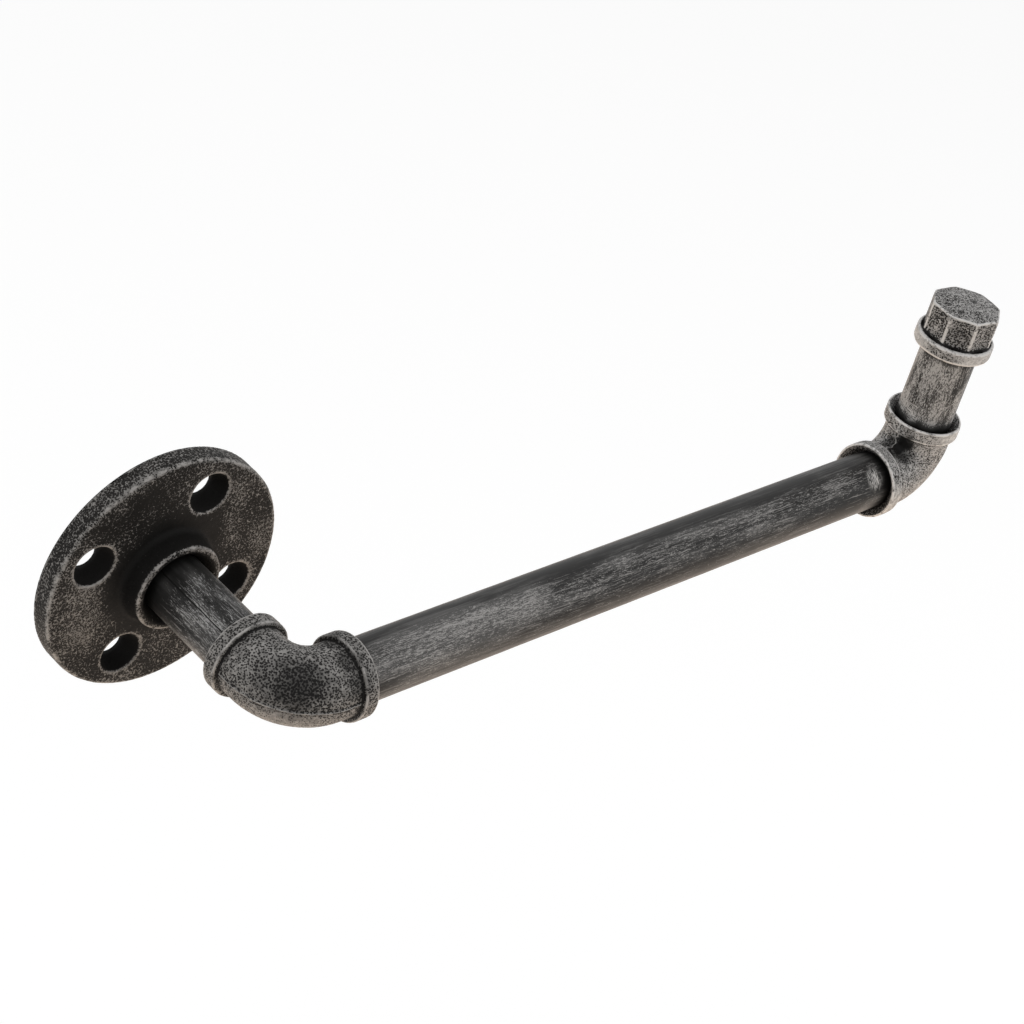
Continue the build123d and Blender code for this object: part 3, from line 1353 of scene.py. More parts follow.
    def sway_ridge(self, piece: Piece) -> None:
        """Lets the parting line wander, most of all inside the bend."""
        points = spots(piece)
        rel = self.corner.local(points)
        keep(piece, ASIDE, rel[:, 2])
        off_centre = np.hypot(rel[:, 0] - self.bend, rel[:, 1] - self.bend)
        inside = 1 - ramp(off_centre, self.sway_inner * self.bend, self.bend)
        near = 1 - ramp(np.abs(rel[:, 2]), *self.sway_band)
        near = near * (self.off_line(points) > self.radius - self.sway_slack)
        near = near * ramp(self.off_band(rel), 0.0, self.sway_ease)
        near = near * (self.sway_least + (1 - self.sway_least) * inside)
        wander = ragged(rel * np.array((1.0, 1.0, 0.0)), self.sway_length)
        wander = np.clip(self.sway_gain * wander, -1.0, 1.0)
        for sway, weights in ((2 * self.ridge_sway, near * (1 + wander) / 2), (-self.ridge_sway, near)):
            weigh(piece, "ridge", weights)
            apply(piece, "DISPLACE", direction="Z", mid_level=0.0, strength=sway, vertex_group="ridge")
            piece.vertex_groups.remove(piece.vertex_groups["ridge"])

    def painted_shade(self, points: np.ndarray, skin: np.ndarray, aside: np.ndarray) -> np.ndarray:
        """How much painted shade the mouths, the shade spots, the sides of the ridge and the feet of the
        bands get.

        Args:
            points: Vertices in the frame.
            skin: Which of them lie on the outside.
            aside: Distances of the vertices from the ridge.

        Returns:
            One number from 0 to 1 for each vertex.
        """
        rel = self.corner.local(points)
        uneven = ragged(points, self.shade_patch)
        off_foot = self.off_band(rel)
        # Painted shadow along both sides of the ridge
        beside = np.exp(-(((np.abs(aside) - self.ridge_shade_aside) / self.ridge_shade_width) ** 2))
        depth = np.clip(self.ridge_shade_mean + self.ridge_shade_change * uneven, 0.0, self.ridge_shade_most)
        line = np.where(off_foot > 0, beside * depth, 0.0)
        # Painted shadow of each band on the body at its foot
        near = self.band_foot_shade * (1 - ramp(off_foot, 0.0, self.foot_shade))
        near = np.where(off_foot > -self.band_crease, near, 0.0)
        black = np.maximum(shaded(rel, self.shades, uneven), np.maximum(line, near * (1 + uneven)))
        # Painted shade inside the mouths, darker deeper in
        deep = ramp(self.reach - rel[:, :2].max(1), 0.0, self.mouth_shade)
        return np.where(skin, black * (1 - self.crest(rel, aside)), self.mouth_painted_shade * deep)

    def off_band(self, rel: np.ndarray) -> np.ndarray:
        """How far points, in the elbow's own frame, lie from the foot of the nearer band."""
        return self.reach - self.band_width - self.band_crease - rel[:, :2].max(1)

    def crest(self, rel: np.ndarray, aside: np.ndarray) -> np.ndarray:
        """How near points, in the elbow's own frame, lie to the crest of its ridge, from 0 to 1."""
        return np.where(self.off_band(rel) > 0, 1 - ramp(np.abs(aside), *self.ridge_crest), 0.0)

    def build(self, plain: Piece, plain_corner: Place) -> Piece:
        """Copies a plain elbow to this one's corner and dresses it.

        Args:
            plain: Elbow before its sand grain.
            plain_corner: Corner that the plain elbow was shaped at.

        Returns:
            The finished piece.
        """
        piece = copy_to(plain, self.name, plain_corner, self.corner)
        points = spots(piece)
        rel = self.corner.local(points)
        off_line = self.off_line(points)
        in_mouth = rel[:, :2].max(1) > self.reach - self.band_width / 2
        in_mouth = in_mouth & (off_line < self.band_radius - self.mouth_rim)
        skin = (off_line > self.radius - self.skin_slack) & ~in_mouth
        aside = kept(piece, ASIDE)
        soot = self.painted_shade(points, skin, aside)
        reach = np.where(in_mouth, self.mouth_reach * (1 - soot), 0.0)
        # Painted shade also takes the silver away
        reach = np.where(skin, 1 - self.soot_bare * soot, reach)
        # Rubbed silver spots, partly a painted highlight on the lower side
        rubbed = shaded(rel, self.rubbed, ragged(points, self.rub_patch)) * (1 - soot)
        wear = np.maximum(rubbed, self.ridge_wear * self.crest(rel, aside))
        self.dress(piece, skin.astype(float), soot, reach, wear)
        self.polish(piece)
        return piece


@dataclass(kw_only=True)
class WallFlange(Casting):
    """The cast disc that is screwed to the wall, with the hub that takes the standoff pipe."""

    wall: Place
    radius: float
    hub_height: float
    thickness: float = 7.8 * MM
    rim_round: float = 1.5 * MM
    back_round: float = 0.5 * MM
    hub_wall: float = 4.85 * MM
    hub_draft: float = 1.2 * MM
    hub_fillet: float = 1.8 * MM
    hub_round: float = 1.0 * MM
    hub_rim: float = 2.0 * MM
    setback: float = 2.3 * MM
    screw_radius: float = 4.4 * MM
    sink_radius: float = 7.4 * MM
    sink_depth: float = 6.3 * MM
    sink_edge: float = 0.3 * MM
    screw_circle: float = 30.7 * MM
    screw_count: int = 4
    screw_turn: float = -23.8
    hole_segments: int = 72
    bore_ease: float = 0.35 * MM
    bore_step: float = 0.6 * MM
    voxel: float = 0.46 * MM
    # Painted shade round the hub, in the screw holes and in the hub's mouth, with less silver near the hub
    shade_patch: float = 4 * MM
    hub_shade: float = 0.5
    hub_ragged: float = 2 * MM
    hub_dark: Pair = (1.5 * MM, 7 * MM)
    hub_bare: Pair = (1.5 * MM, 11 * MM)
    hub_reach: float = 0.4
    lip_depth: Pair = (2.2 * MM, 0.5 * MM)
    skin_height: Pair = (0.3 * MM, 0.8 * MM)
    front_depth: Pair = (1.0 * MM, 0.4 * MM)
    hole_shade: float = 0.4
    hole_dark: Pair = (0.1 * MM, 0.5 * MM)
    hole_wear: float = 0.72
    hole_edge: float = 0.4 * MM
    hole_edge_width: float = 0.55 * MM
    mouth_slack: float = 0.1 * MM
    mouth_depth: float = 3 * MM
    mouth_painted_shade: Pair = (0.35, 0.4)
    mouth_reach: float = 0.6
    mouth_relief: float = 0.5

    @property
    def hub_radius(self) -> float:
        """Outer radius of the hub at its lip."""
        return self.stock.radius + self.stock.gap + self.hub_wall

    def build(self) -> Piece:
        """Turns the disc and hub, drills them, gives them a cast skin and cuts the thread.

        Returns:
            The finished piece.
        """
        foot = self.hub_radius + self.hub_draft
        outline = [
            Corner(0, MERGE),
            Corner(self.radius, MERGE, self.back_round),
            Corner(self.radius, self.thickness, self.rim_round),
            Corner(foot, self.thickness, self.hub_fillet),
            Corner(self.hub_radius, self.hub_height, self.hub_round),
            Corner(0, self.hub_height),
        ]
        piece = turn(self.name, self.wall, outline)
        for index in range(self.screw_count):
            combine(piece, self.screw_cutter(index), Cut.AWAY)
        self.melt(piece, self.voxel)
        self.weather(piece)
        combine(piece, self.socket_cutter(), Cut.AWAY)
        self.darken_mouth(piece)
        self.polish(piece)
        return piece

    def screw_place(self, index: int) -> Place:
        """Axis of one screw hole, from the wall."""
        around = self.wall.turned(math.radians(self.screw_turn) + index * math.tau / self.screw_count)
        return Place(around.point(self.screw_circle, 0), around.along, around.side)

    def screw_cutter(self, index: int) -> Piece:
        """Turns the shape of one sunk screw hole, with its eased edge."""
        edge = self.sink_edge
        outline = [
            Corner(0, -OVER),
            Corner(self.screw_radius, -OVER),
            Corner(self.screw_radius, self.thickness - self.sink_depth),
            Corner(self.sink_radius - edge / 2, self.thickness - edge),
            Corner(self.sink_radius + edge, self.thickness),
            Corner(self.sink_radius + edge, self.thickness + OVER),
            Corner(0, self.thickness + OVER),
        ]
        return turn(f"screw_cutter_{index}", self.screw_place(index), outline, self.hole_segments)

    def socket_cutter(self) -> Piece:
        """Turns the shape of the threaded bore, open to the wall and to the front."""
        lip = self.hub_radius - self.hub_rim
        ease = self.bore_ease
        outline = [
            Corner(0, -OVER),
            Corner(self.stock.root + self.stock.gap, -OVER),
            *self.stock.thread(self.setback, self.stock.gap),
            Corner(lip - ease, self.hub_height - ease),
            Corner(lip + ease, self.hub_height),
            Corner(lip + ease, self.hub_height + OVER),
            Corner(0, self.hub_height + OVER),
        ]
        return turn("hub_cutter", self.wall, outline, step=self.bore_step)

    def weather(self, piece: Piece) -> None:
        """Paints shade round the hub, in the screw holes and in the shade spots, keeps less silver near the
        hub and wears the holes' edges.
        """
        points = spots(piece)
        rel = self.wall.local(points)
        uneven = ragged(points, self.shade_patch)
        radius, height = np.hypot(rel[:, 0], rel[:, 1]), rel[:, 2]
        off_hub = radius - self.hub_radius + self.hub_ragged * uneven
        lip = ramp(height, *(self.hub_height - depth for depth in self.lip_depth))
        # Painted shade round the foot of the hub
        soot = self.hub_shade * (1 - ramp(off_hub, *self.hub_dark)) * (1 - lip)
        skin = ramp(height, *self.skin_height)
        bare = self.hub_reach + (1 - self.hub_reach) * ramp(off_hub, *self.hub_bare)
        # Less silver in the shade spots: painted shade above the hub, darker at the upper left
        reach = skin * np.maximum(lip, bare) * (1 - shaded(rel, self.shades, uneven))
        wear = shaded(rel, self.rubbed, uneven)
        front = ramp(height, *(self.thickness - depth for depth in self.front_depth))
        for index in range(self.screw_count):
            hole = self.screw_place(index).local(points)
            away = np.hypot(hole[:, 0], hole[:, 1]) - self.sink_radius
            inside = (1 - ramp(away, *self.hole_dark)) * (1 - front)
            # Painted shade inside each screw hole, which also takes its silver
            soot = np.maximum(soot, self.hole_shade * inside)
            reach = reach * (1 - inside)
            edge = np.exp(-(((away - self.hole_edge) / self.hole_edge_width) ** 2))
            wear = np.maximum(wear, self.hole_wear * front * edge)
        self.dress(piece, skin, soot * skin, reach, wear)

    def darken_mouth(self, piece: Piece) -> None:
        """Paints shade inside the hub, darker deeper in, with a few specks near the lip."""
        rel = self.wall.local(spots(piece))
        radius, height = np.hypot(rel[:, 0], rel[:, 1]), rel[:, 2]
        inside = radius < self.hub_radius - self.hub_rim + self.mouth_slack
        inside = inside & (height < self.hub_height - self.mouth_slack)
        deep = ramp(-height, -self.hub_height, -self.hub_height + self.mouth_depth)
        # Painted shade inside the hub
        least, more = self.mouth_painted_shade
        keep(piece, SHADE_AND_PITS, np.where(inside, least + more * deep, kept(piece, SHADE_AND_PITS)))
        keep(piece, REACH_AND_SHADE, np.where(inside, self.mouth_reach * (1 - deep), kept(piece, REACH_AND_SHADE)))
        keep(piece, RELIEF, np.where(inside, self.mouth_relief, kept(piece, RELIEF)))


@dataclass(kw_only=True)
class EndCap(Casting):
    """The cap on the riser: an octagon with a domed top on a round, grooved collar."""

    foot: Place
    height: float
    collar_radius: float
    sides: int = 8
    turn_angle: float = 13.5
    wall: float = 1.5 * MM
    mouth: float = 1.0 * MM
    dome: float = 1.2 * MM
    dome_steps: int = 8
    dome_segments: int = 96
    edge_round: float = 1.5 * MM
    edge_steps: int = 4
    top_zone: float = 1.6 * MM
    top_rounds: int = 18
    collar_width: float = 5.5 * MM
    collar_round: float = 1.0 * MM
    collar_rim: float = 1.5 * MM
    groove: float = 1.2 * MM
    groove_lean: float = 0.2 * MM
    voxel: float = 0.26 * MM
    # Painted shade in the groove and on the collar, and wear of the top and the collar
    groove_painted_shade: float = 0.75
    groove_edge: float = 0.5 * MM
    groove_shade: Pair = (-0.3 * MM, 1.6 * MM)
    spot_patch: float = 0.8 * MM
    top_wear: float = 0.14
    top_fade: float = 0.7 * MM
    collar_wear: float = 0.74
    collar_fade: float = 0.5 * MM
    # Spots with less rubbed silver on the collar: painted shade where it faces the camera, and a like spot on
    # the far side
    collar_shade_spots: tuple[Shade, ...] = marks((-13.8, -4.9, 2.5, 9, 0.7), (13.8, 4.9, 2.5, 11, 0.6))
    collar_shade_patch: float = 2 * MM

    @property
    def flat_radius(self) -> float:
        """Distance of the flat sides from the axis."""
        return self.stock.radius + self.stock.gap + self.wall

    @property
    def corner_radius(self) -> float:
        """Distance of the octagon's corners from the axis."""
        return self.flat_radius / math.cos(math.pi / self.sides)

    def build(self) -> Piece:
        """Joins octagon and collar, gives them a cast skin and cuts the thread.

        Returns:
            The finished piece.
        """
        piece = self.octagon()
        combine(piece, self.dome_shape(), Cut.WITHIN)
        combine(piece, self.collar(), Cut.TOGETHER)
        self.melt(piece, self.voxel)
        rel = self.foot.local(spots(piece))
        group(piece, "top_edge", rel[:, 2] > self.height - self.dome - self.top_zone)
        apply(piece, "SMOOTH", factor=self.softening, iterations=self.top_rounds, vertex_group="top_edge")
        self.weather(piece)
        combine(piece, self.socket_cutter(), Cut.AWAY)
        self.polish(piece)
        return piece

    def octagon(self) -> Piece:
        """Adds an eight-sided prism and rounds its upright edges."""
        foot = self.foot
        bpy.ops.object.select_all(action="DESELECT")
        bpy.ops.mesh.primitive_cylinder_add(
            vertices=self.sides,
            radius=self.corner_radius,
            depth=self.height,
            location=foot.origin + foot.along * self.height / 2,
            rotation=(0, 0, math.radians(self.turn_angle) - math.pi / 2),
        )
        piece = bpy.context.object
        piece.name = self.name
        piece.data.name = self.name
        bpy.ops.object.transform_apply(location=True, rotation=True, scale=True)
        bpy.ops.object.mode_set(mode="EDIT")
        bpy.ops.mesh.select_mode(type="EDGE")
        bpy.ops.mesh.select_all(action="DESELECT")
        shape = bmesh.from_edit_mesh(piece.data)
        for edge in shape.edges:
            start, end = edge.verts
            edge.select_set(abs(start.co.z - end.co.z) > self.height / 2)
        bmesh.update_edit_mesh(piece.data)
        offset = self.edge_round * math.tan(math.pi / self.sides)
        bpy.ops.mesh.bevel(offset=offset, segments=self.edge_steps, affect="EDGES")
        bpy.ops.mesh.select_mode(type="VERT")
        close_up(piece)
        return piece

    def dome_shape(self) -> Piece:
        """Turns the wide round body whose top is the cap's dome."""
        wide = self.corner_radius + OVER
        curve = (self.corner_radius**2 + self.dome**2) / (2 * self.dome)
        outline = [Corner(0, -OVER), Corner(wide, -OVER)]
        for index in range(self.dome_steps + 1):
            radius = wide * (1 - index / self.dome_steps)
            outline.append(Corner(radius, self.height - curve + math.sqrt(curve**2 - radius**2)))
        return turn("dome", self.foot, outline, self.dome_segments)

    def collar(self) -> Piece:
        """Turns the round collar, with the groove between its rim and the octagon."""
        rim = self.collar_radius - self.collar_rim
        floor = self.collar_width - self.groove
        outline = [
            Corner(0, 0),
            Corner(self.collar_radius, 0, self.collar_round),
            Corner(self.collar_radius, self.collar_width, self.collar_round),
            Corner(rim, self.collar_width),
            Corner(rim - self.groove_lean, floor),
            Corner(0, floor),
        ]
        return turn("collar", self.foot, outline)

    def weather(self, piece: Piece) -> None:
        """Paints shade in the groove and at the feet of the flat sides, and keeps the top and the collar
        bright.
        """
        points = spots(piece)
        rel = self.foot.local(points)
        radius, height = np.hypot(rel[:, 0], rel[:, 1]), rel[:, 2]
        rim = self.collar_radius - self.collar_rim
        inside = 1 - ramp(radius, rim, rim + self.groove_edge)
        low = 1 - ramp(height, *(self.collar_width + rise for rise in self.groove_shade))
        # Painted shade in the groove and at the feet of the flat sides
        groove = inside * low
        # Shade spots: two real dark pits on the top and painted shade on the flat side that faces the camera
        pits_and_shade = shaded(rel, self.shades, ragged(points, self.spot_patch))
        soot = np.maximum(self.groove_painted_shade * groove, pits_and_shade)
        top = ramp(height, self.height - self.dome - self.top_fade, self.height - self.dome)
        collar = 1 - ramp(height, self.collar_width, self.collar_width + self.collar_fade)
        collar = (1 - inside) * collar
        # Less rubbed silver in the collar's spots, a painted shade where it faces the camera
        collar_shaded = shaded(rel, self.collar_shade_spots, ragged(points, self.collar_shade_patch))
        wear = np.maximum(self.top_wear * top, self.collar_wear * collar * (1 - collar_shaded))
        self.dress(piece, np.ones(len(rel)), soot, 1 - groove, wear)

    def socket_cutter(self) -> Piece:
        """Turns the shape of the threaded hole, from its floor down through the collar."""
        floor = self.mouth + self.stock.thread_length + self.stock.end_gap
        foot = self.foot
        down = Place(foot.origin + floor * foot.along, -foot.along, foot.side)
        mouth = [Corner(self.stock.radius + self.stock.gap + self.mouth, floor)]
        return turn("cap_cutter", down, self.stock.socket(0, mouth))


# Studio


@dataclass(frozen=True)
class Lamp:
    """A square soft box that looks at the holder, with its place beside the target."""

    name: str
    offset: Vector
    size: float
    power: float
    colour: tuple[float, float, float] = (1.0, 1.0, 1.0)

    def hang(self, target: Vector) -> None:
        """Adds the lamp and turns it to its target."""
        spot = target + self.offset
        light = bpy.data.lights.new(self.name, "AREA")
        light.shape = "SQUARE"
        light.size = self.size
        light.energy = self.power
        light.color = self.colour
        lamp = bpy.data.objects.new(self.name, light)
        bpy.context.scene.collection.objects.link(lamp)
        lamp.location = spot
        lamp.visible_camera = False
        lamp.rotation_euler = (target - spot).to_track_quat("-Z", "Y").to_euler()


@dataclass(frozen=True)
class Viewpoint:
    """The camera's stand: its angles in degrees, its distance and its aim beside the target."""

    azimuth: float
    elevation: float
    roll: float
    distance: float
    aim_right: float
    aim_up: float
    focal_pixels: float
    frame_pixels: int = 1024
    clip_start: float = 0.02

    def set_up(self, target: Vector) -> None:
        """Adds the camera and makes it the scene's own.

        Args:
            target: Point that the angles and the distance are measured from.
        """
        angles = (self.azimuth, self.elevation, self.roll)
        azimuth, elevation, roll = (math.radians(angle) for angle in angles)
        level = math.cos(elevation)
        back = Vector((math.sin(azimuth) * level, -math.cos(azimuth) * level, math.sin(elevation)))
        right = UP.cross(back).normalized()
        up = back.cross(right)
        tilted_right = math.cos(roll) * right + math.sin(roll) * up
        tilted_up = math.cos(roll) * up - math.sin(roll) * right
        data = bpy.data.cameras.new("camera")
        data.lens = self.focal_pixels * data.sensor_width / self.frame_pixels
        data.clip_start = self.clip_start
        camera = bpy.data.objects.new("camera", data)
        bpy.context.scene.collection.objects.link(camera)
        stand = target + self.distance * back - self.aim_right * tilted_right - self.aim_up * tilted_up
        turn_to = Matrix((tilted_right, tilted_up, back)).transposed().to_4x4()
        camera.matrix_world = Matrix.Translation(stand) @ turn_to
        bpy.context.scene.camera = camera


@dataclass(frozen=True)
class Studio:
    """A white room: pale floor, soft lamps and an even sky."""

    target: Vector
    floor_drop: float = 0.26
    floor_size: float = 12.0
    floor_colour: Colour = (0.82, 0.74, 0.65, 1.0)
    floor_seen: Colour = (0.3, 0.3, 0.3, 1.0)
    floor_roughness: float = 0.9
    floor_glow: float = 0.78
    sky: float = 0.5
    lamps: tuple[Lamp, ...] = (
        Lamp("top_lamp", Vector((0.3, 0.1, 1.3)), size=1.2, power=3.0),
        Lamp("left_lamp", Vector((-1.1, 0.35, 0.5)), size=0.9, power=3.5),
        Lamp("right_lamp", Vector((0.75, -1.0, 0.45)), size=0.9, power=3.5),
        Lamp("low_lamp", Vector((0.04, 0.0, -0.19)), size=0.7, power=1.25, colour=(1.0, 0.7, 0.44)),
    )

    def direct_rays(self, sheet: NodeSheet) -> Socket:
        """Mask of the rays that show the white background: seen, mirrored or passed through."""
        rays = sheet.add("ShaderNodeLightPath").outputs
        seen = sheet.math("MAXIMUM", rays["Is Camera Ray"], rays["Is Glossy Ray"])
        return sheet.math("MAXIMUM", seen, rays["Is Transmission Ray"])

    def lay_floor(self) -> None:
        """Adds the pale floor, which looks white and keeps the holder's shadow."""
        bpy.ops.object.select_all(action="DESELECT")
        place = (self.target.x, self.target.y, CAD_BOX[0][2] - self.floor_drop)
        bpy.ops.mesh.primitive_plane_add(size=self.floor_size, location=place)
        floor = bpy.context.object
        floor.name = "floor"
        bpy.ops.object.transform_apply(location=True)
        material = bpy.data.materials.new("pale_floor")
        material.use_nodes = True
        sheet = NodeSheet(material.node_tree)
        shader = material.node_tree.nodes["Principled BSDF"]
        direct = self.direct_rays(sheet)
        sheet.feed(shader.inputs["Base Color"], sheet.mix(direct, self.floor_colour, self.floor_seen))
        shader.inputs["Roughness"].default_value = self.floor_roughness
        shader.inputs["Specular IOR Level"].default_value = 0.0
        shader.inputs["Emission Color"].default_value = WHITE
        sheet.feed(shader.inputs["Emission Strength"], sheet.math("MULTIPLY", direct, self.floor_glow))
        floor.data.materials.append(material)

    def paint_sky(self) -> None:
        """Makes a sky that is white where it shows and even and dimmer as light."""
        world = bpy.data.worlds.new("sky")
        world.use_nodes = True
        bpy.context.scene.world = world
        sheet = NodeSheet(world.node_tree)
        background = world.node_tree.nodes["Background"]
        background.inputs["Color"].default_value = WHITE
        strength = sheet.ramp(self.direct_rays(sheet), 0.0, 1.0, self.sky, 1.0)
        sheet.feed(background.inputs["Strength"], strength)

    def set_up(self) -> None:
        """Builds floor, sky and lamps."""
        self.lay_floor()
        self.paint_sky()
        for lamp in self.lamps:
            lamp.hang(self.target)
        bpy.context.scene.view_settings.view_transform = "Standard"


# Whole holder


@dataclass(frozen=True)
class Layout:
    """What the pieces share: the pipe, the axes of arm and riser, and the two brushed effects."""

    stock: PipeStock
    arm_y: float
    riser_x: float
    cast: Effect
    brushed: Effect

    @classmethod
    def from_frame(cls) -> "Layout":
        """Takes the pipe's radius and the axes from the frame's boxes, and builds the effects."""
        arm_low, arm_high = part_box("arm_pipe")
        riser_low, riser_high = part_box("riser_pipe")
        return cls(
            stock=PipeStock(radius=(arm_high.z - arm_low.z) / 2),
            arm_y=(arm_low.y + arm_high.y) / 2,
            riser_x=(riser_low.x + riser_high.x) / 2,
            cast=CastBrush().effect(),
            brushed=PipeBrush().effect(),
        )


def build_flange(layout: Layout) -> None:
    """Builds the flange on the wall."""
    low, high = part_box("wall_flange")
    WallFlange(
        name="cast_wall_flange",
        seat=Seat("wall_flange", "flange", Slot.CAST_IRON),
        stock=layout.stock,
        finish=CastFinish(
            "flange_silver",
            layout.cast,
            grain=0.6 * MM,
            level=0.6,
            patchiness=0.35,
            coat=Coat(
                ground=(0.0075, 0.007, 0.0064, 1.0),
                film=(0.013, 0.012, 0.011, 1.0),
                silver=(0.25, 0.24, 0.23, 1.0),
                specular=0.09,
            ),
        ),
        edge_bend=(80.0, 420.0),
        edge_whole=0.66,
        # Painted shade on the upper half of the disc, above the hub and darker at the upper left
        shades=marks(
            (-11.0, 30.0, 7.8, 13, 0.4),
            (-3.0, 23.0, 7.8, 12, 0.3),
            (12.0, 15.0, 7.8, 10, 0.3),
            (-25.0, 27.0, 7.8, 10, 0.35),
            (31.0, 12.0, 7.8, 10, 0.15),
        ),
        rubbed=marks((-30.0, -7.0, 7.8, 14, 0.19)),
        wall=Place(Vector((0, high.y, 0)), OUT, RIGHT),
        radius=(high.x - low.x) / 2,
        hub_height=high.y - low.y,
    ).build()


def build_standoff(layout: Layout) -> None:
    """Builds the short pipe from the flange to the rear elbow, with its weld seam at the upper left."""
    low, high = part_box("standoff_pipe")
    seam_turn = math.radians(131)
    seam_side = RIGHT * math.cos(seam_turn) + UP * math.sin(seam_turn)
    ThreadedPipe(
        name="brushed_standoff_pipe",
        seat=Seat("standoff_pipe", "standoff", Slot.PIPE_STEEL),
        foot=Place(Vector((0, high.y, 0)), OUT, seam_side),
        length=high.y - low.y,
        stock=layout.stock,
        finish=PipeFinish(
            "standoff_silver",
            layout.brushed,
            streaks=0.12,
            patch=5 * MM,
            softness=0.08,
            coat=replace(PIPE_COAT, film=(0.06, 0.0585, 0.057, 1.0), silver=(0.36, 0.355, 0.35, 1.0)),
        ),
        coverage_and_shade=((0.0, 0.64),),
        filmed=(PipeSpot(42 * MM, 25.0, 20 * MM, 13 * MM, 0.45),),
        # Painted shadow where the pipe comes out of the hub
        foot_dark=(1.5 * MM, 13 * MM),
    ).build()


def rear_elbow(layout: Layout) -> Elbow:
    """The elbow between standoff and arm, with its looks."""
    low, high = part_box("rear_elbow")
    return Elbow(
        name="cast_rear_elbow",
        seat=Seat("rear_elbow", "rear_elbow", Slot.CAST_IRON),
        stock=layout.stock,
        finish=CastFinish(
            "rear_elbow_silver",
            layout.cast,
            grain=0.68 * MM,
            fineness=0.2,
            level=0.5,
            softness=0.075,
            patchiness=0.14,
            coat=Coat(
                ground=(0.008, 0.0075, 0.007, 1.0),
                film=(0.018, 0.017, 0.016, 1.0),
                silver=(0.29, 0.28, 0.27, 1.0),
            ),
        ),
        corner=Place(Vector((0, layout.arm_y, 0)), UP, RIGHT),
        reach=high.x,
        band_radius=(high.z - low.z) / 2,
        # Painted shade: the dark patch on top of the bend and the shadow of the arm's band on the body beside
        # it
        shades=marks(
            (-1.5, -4.0, 8.2, 13, 0.72),
            (17.4, -4.5, 11.6, 6.5, 0.6),
            (17.6, -10.8, 6.3, 6, 0.5),
            (-6.5, 1.5, 7.0, 10, 0.4),
            (3.5, -6.5, 8.4, 9, 0.4),
            (17.5, 5.3, 11.4, 6.5, 0.6),
            (17.5, -4.0, 11.6, 5, 0.6),
            (18.5, -10.0, 7.0, 4, 0.55),
        ),
        # Rubbed silver, on the underside partly a painted highlight of light from below
        rubbed=marks(
            (-3.5, -3.5, -6.5, 16, 0.42),
            (-11.0, 8.0, 3.0, 9, 0.15),
        ),
    )


def front_elbow(layout: Layout, rear: Elbow) -> Elbow:
    """The elbow between arm and riser, of the same sizes as the rear one, with its looks."""
    return Elbow(
        name="cast_front_elbow",
        seat=Seat("front_elbow", "front_elbow", Slot.CAST_IRON),
        stock=layout.stock,
        finish=CastFinish(
            "front_elbow_silver",
            layout.cast,
            grain=0.6 * MM,
            fineness=0.35,
            level=0.46,
            softness=0.055,
            coat=Coat(film=(0.024, 0.023, 0.022, 1.0), silver=(0.46, 0.45, 0.44, 1.0), shine=1.5),
        ),
        corner=Place(Vector((layout.riser_x, layout.arm_y, 0)), -OUT, -RIGHT),
        reach=rear.reach,
        band_radius=rear.band_radius,
        # Painted shade: the dark pocket in the saddle of the bend, on both sides of the ridge
        shades=marks(
            (12.4, 14.4, -2.9, 6.5, 1.0),
            (12.0, 17.5, -4.0, 5.5, 0.95),
            (13.0, 11.8, -5.0, 5.5, 0.85),
            (17.5, 12.1, -2.6, 4, 0.85),
            (13.3, 13.3, 1.9, 4, 0.75),
            (17.0, 12.5, 1.8, 3.5, 0.7),
        ),
        # Rubbed silver on the outside of the bend and on both bands, where they face the camera; on the lower
        # body it is partly a painted highlight
        rubbed=marks(
            (-2.0, -2.0, -9.0, 13, 0.4),
            (0.0, 22.3, -14.3, 9, 0.7),
            (22.4, -1.0, -14.3, 9, 0.6),
        ),
    )


def build_elbows(layout: Layout) -> None:
    """Shapes one plain elbow and dresses a copy of it at each corner."""
    rear = rear_elbow(layout)
    plain = rear.shape()
    for elbow in (rear, front_elbow(layout, rear)):
        elbow.build(plain, rear.corner)
    bpy.data.objects.remove(plain)


def build_arm(layout: Layout) -> None:
    """Builds the long pipe that carries the roll."""
    low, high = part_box("arm_pipe")
    length = high.x - low.x
    ThreadedPipe(
        name="brushed_arm_pipe",
        seat=Seat("arm_pipe", "arm", Slot.PIPE_STEEL),
        foot=Place(Vector((low.x, layout.arm_y, 0)), RIGHT, -UP),
        length=length,
        stock=layout.stock,
        finish=PipeFinish("arm_silver", layout.brushed, level=0.525),
        # Silver by angle, 180 at the top: it paints shade in a strip near the top and light on the upper
        # front
        coverage_and_shade=(
            (0.0, 0.5),
            (90.0, 0.4),
            (150.0, 0.3),
            (172.0, 0.2),
            (186.0, 0.45),
            (202.0, 0.72),
            (222.0, 0.78),
            (246.0, 0.62),
            (270.0, 0.5),
            (300.0, 0.4),
        ),
        rubbed=(PipeSpot(length - 18 * MM, 225.0, 4 * MM, 6 * MM, 1.4),),
        # Spots of more film, which partly paint light on the arm's top and front
        filmed=(
            PipeSpot(55 * MM, 224.0, 65 * MM, 10 * MM, 0.75),
            PipeSpot(42 * MM, 182.0, 34 * MM, 5 * MM, 0.5),
            PipeSpot(42 * MM, 268.0, 36 * MM, 6 * MM, 0.35),
            PipeSpot(165 * MM, 203.0, 70 * MM, 4.5 * MM, 0.35),
        ),
        film=0.32,
        # Painted shadow where the arm goes into the front elbow
        top_dark=(1.6 * MM, 4.4 * MM),
    ).build()


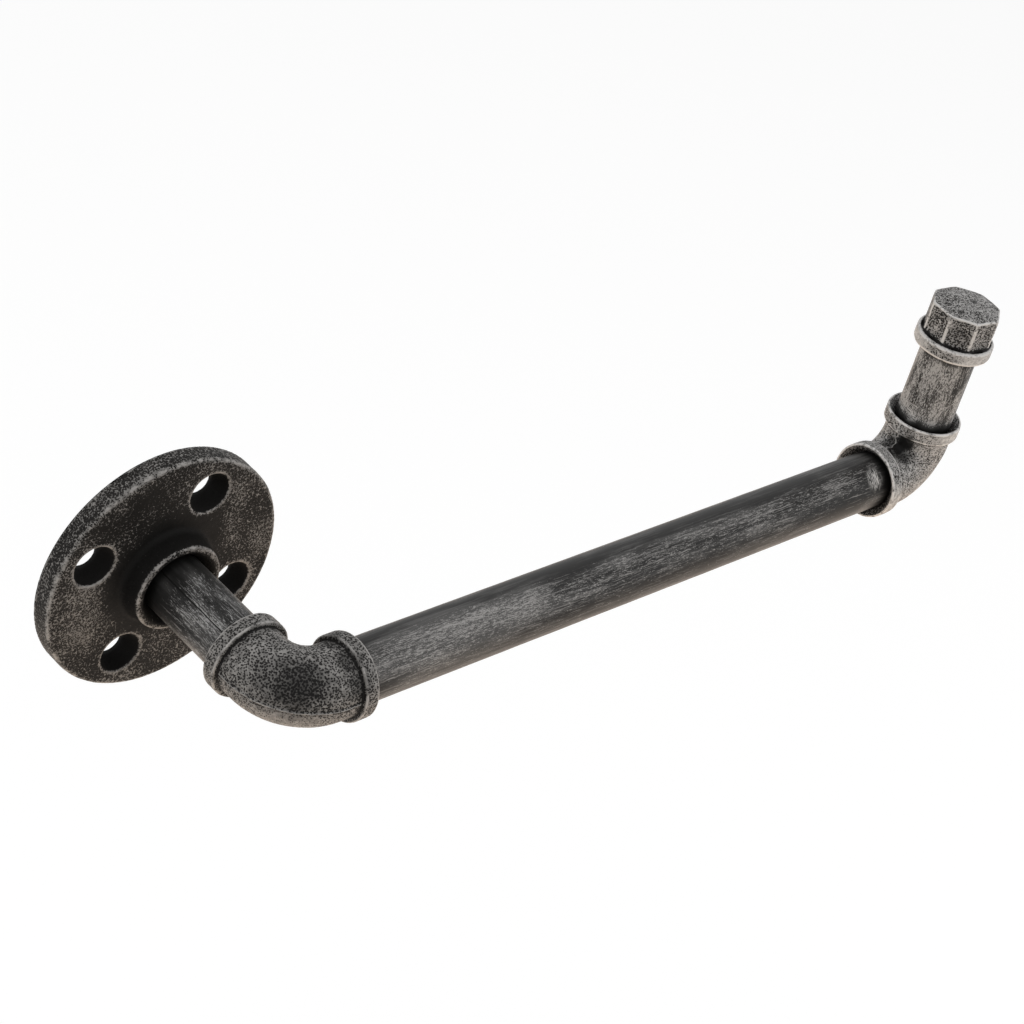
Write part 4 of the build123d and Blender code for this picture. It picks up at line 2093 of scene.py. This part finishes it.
def build_riser(layout: Layout) -> None:
    """Builds the short upright pipe."""
    low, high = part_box("riser_pipe")
    ThreadedPipe(
        name="brushed_riser_pipe",
        seat=Seat("riser_pipe", "riser", Slot.PIPE_STEEL),
        foot=Place(Vector((layout.riser_x, layout.arm_y, low.z)), UP, RIGHT),
        length=high.z - low.z,
        stock=layout.stock,
        finish=PipeFinish(
            "riser_silver",
            layout.brushed,
            streaks=0.2,
            patch=5 * MM,
            patchiness=0.6,
            level=0.53,
            softness=0.05,
            width=0.32 * MM,
            length=1.3 * MM,
            sway=0.9 * MM,
            coat=replace(PIPE_COAT, silver=(0.42, 0.41, 0.40, 1.0)),
        ),
        coverage_and_shade=((100.0, 1.05), (170.0, 1.05), (205.0, 0.94), (255.0, 0.92), (300.0, 1.0)),
        rubbed=(PipeSpot(16 * MM, 185.0, 6 * MM, 4 * MM, 0.8),),
        film=0.6,
        # Painted shadow where the riser leaves the elbow and under the cap's collar
        foot_dark=(1.6 * MM, 4.4 * MM),
        top_dark=(0.8 * MM, 4.4 * MM),
    ).build()


def build_cap(layout: Layout) -> None:
    """Builds the cap on the riser."""
    low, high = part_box("end_cap")
    EndCap(
        name="cast_end_cap",
        seat=Seat("end_cap", "cap", Slot.CAST_IRON),
        stock=layout.stock,
        finish=CastFinish(
            "cap_silver",
            layout.cast,
            grain=0.65 * MM,
            fineness=0.35,
            level=0.53,
            patch=6 * MM,
            patchiness=0.32,
            coat=Coat(film=(0.02, 0.019, 0.018, 1.0), silver=(0.415, 0.405, 0.395, 1.0), shine=1.5),
        ),
        edge_bend=(60.0, 230.0),
        edge_whole=1.0,
        # Two real dark pits on the top, and painted shade on the flat side that faces the camera
        shades=marks(
            (2.9, -0.1, 18.6, 2.2, 0.8),
            (-7.5, -2.9, 18.2, 1.9, 0.7),
            (-10.1, -7.3, 10.5, 6.5, 0.35),
        ),
        foot=Place(Vector((layout.riser_x, layout.arm_y, low.z)), UP, RIGHT),
        height=high.z - low.z,
        collar_radius=(high.x - low.x) / 2,
    ).build()


def build_holder() -> None:
    """Builds the seven pieces in the places that the frame gives."""
    layout = Layout.from_frame()
    for build in (build_flange, build_standoff, build_elbows, build_arm, build_riser, build_cap):
        build(layout)


def main() -> None:
    """Builds the holder, the studio around it and the camera."""
    logging.basicConfig(level=logging.INFO, format="%(name)s: %(message)s")
    build_holder()
    arm_low, arm_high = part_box("arm_pipe")
    flange_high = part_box("wall_flange")[1]
    target = Vector(((arm_low.x + arm_high.x) / 2, ((arm_low.y + arm_high.y) / 2 + flange_high.y) / 2, 0))
    Studio(target).set_up()
    Viewpoint(
        azimuth=-50.631,
        elevation=34.556,
        roll=15.843,
        distance=0.836053,
        aim_right=0.017257,
        aim_up=0.001205,
        focal_pixels=2400.472,
    ).set_up(target)


if __name__ == "__main__":
    main()
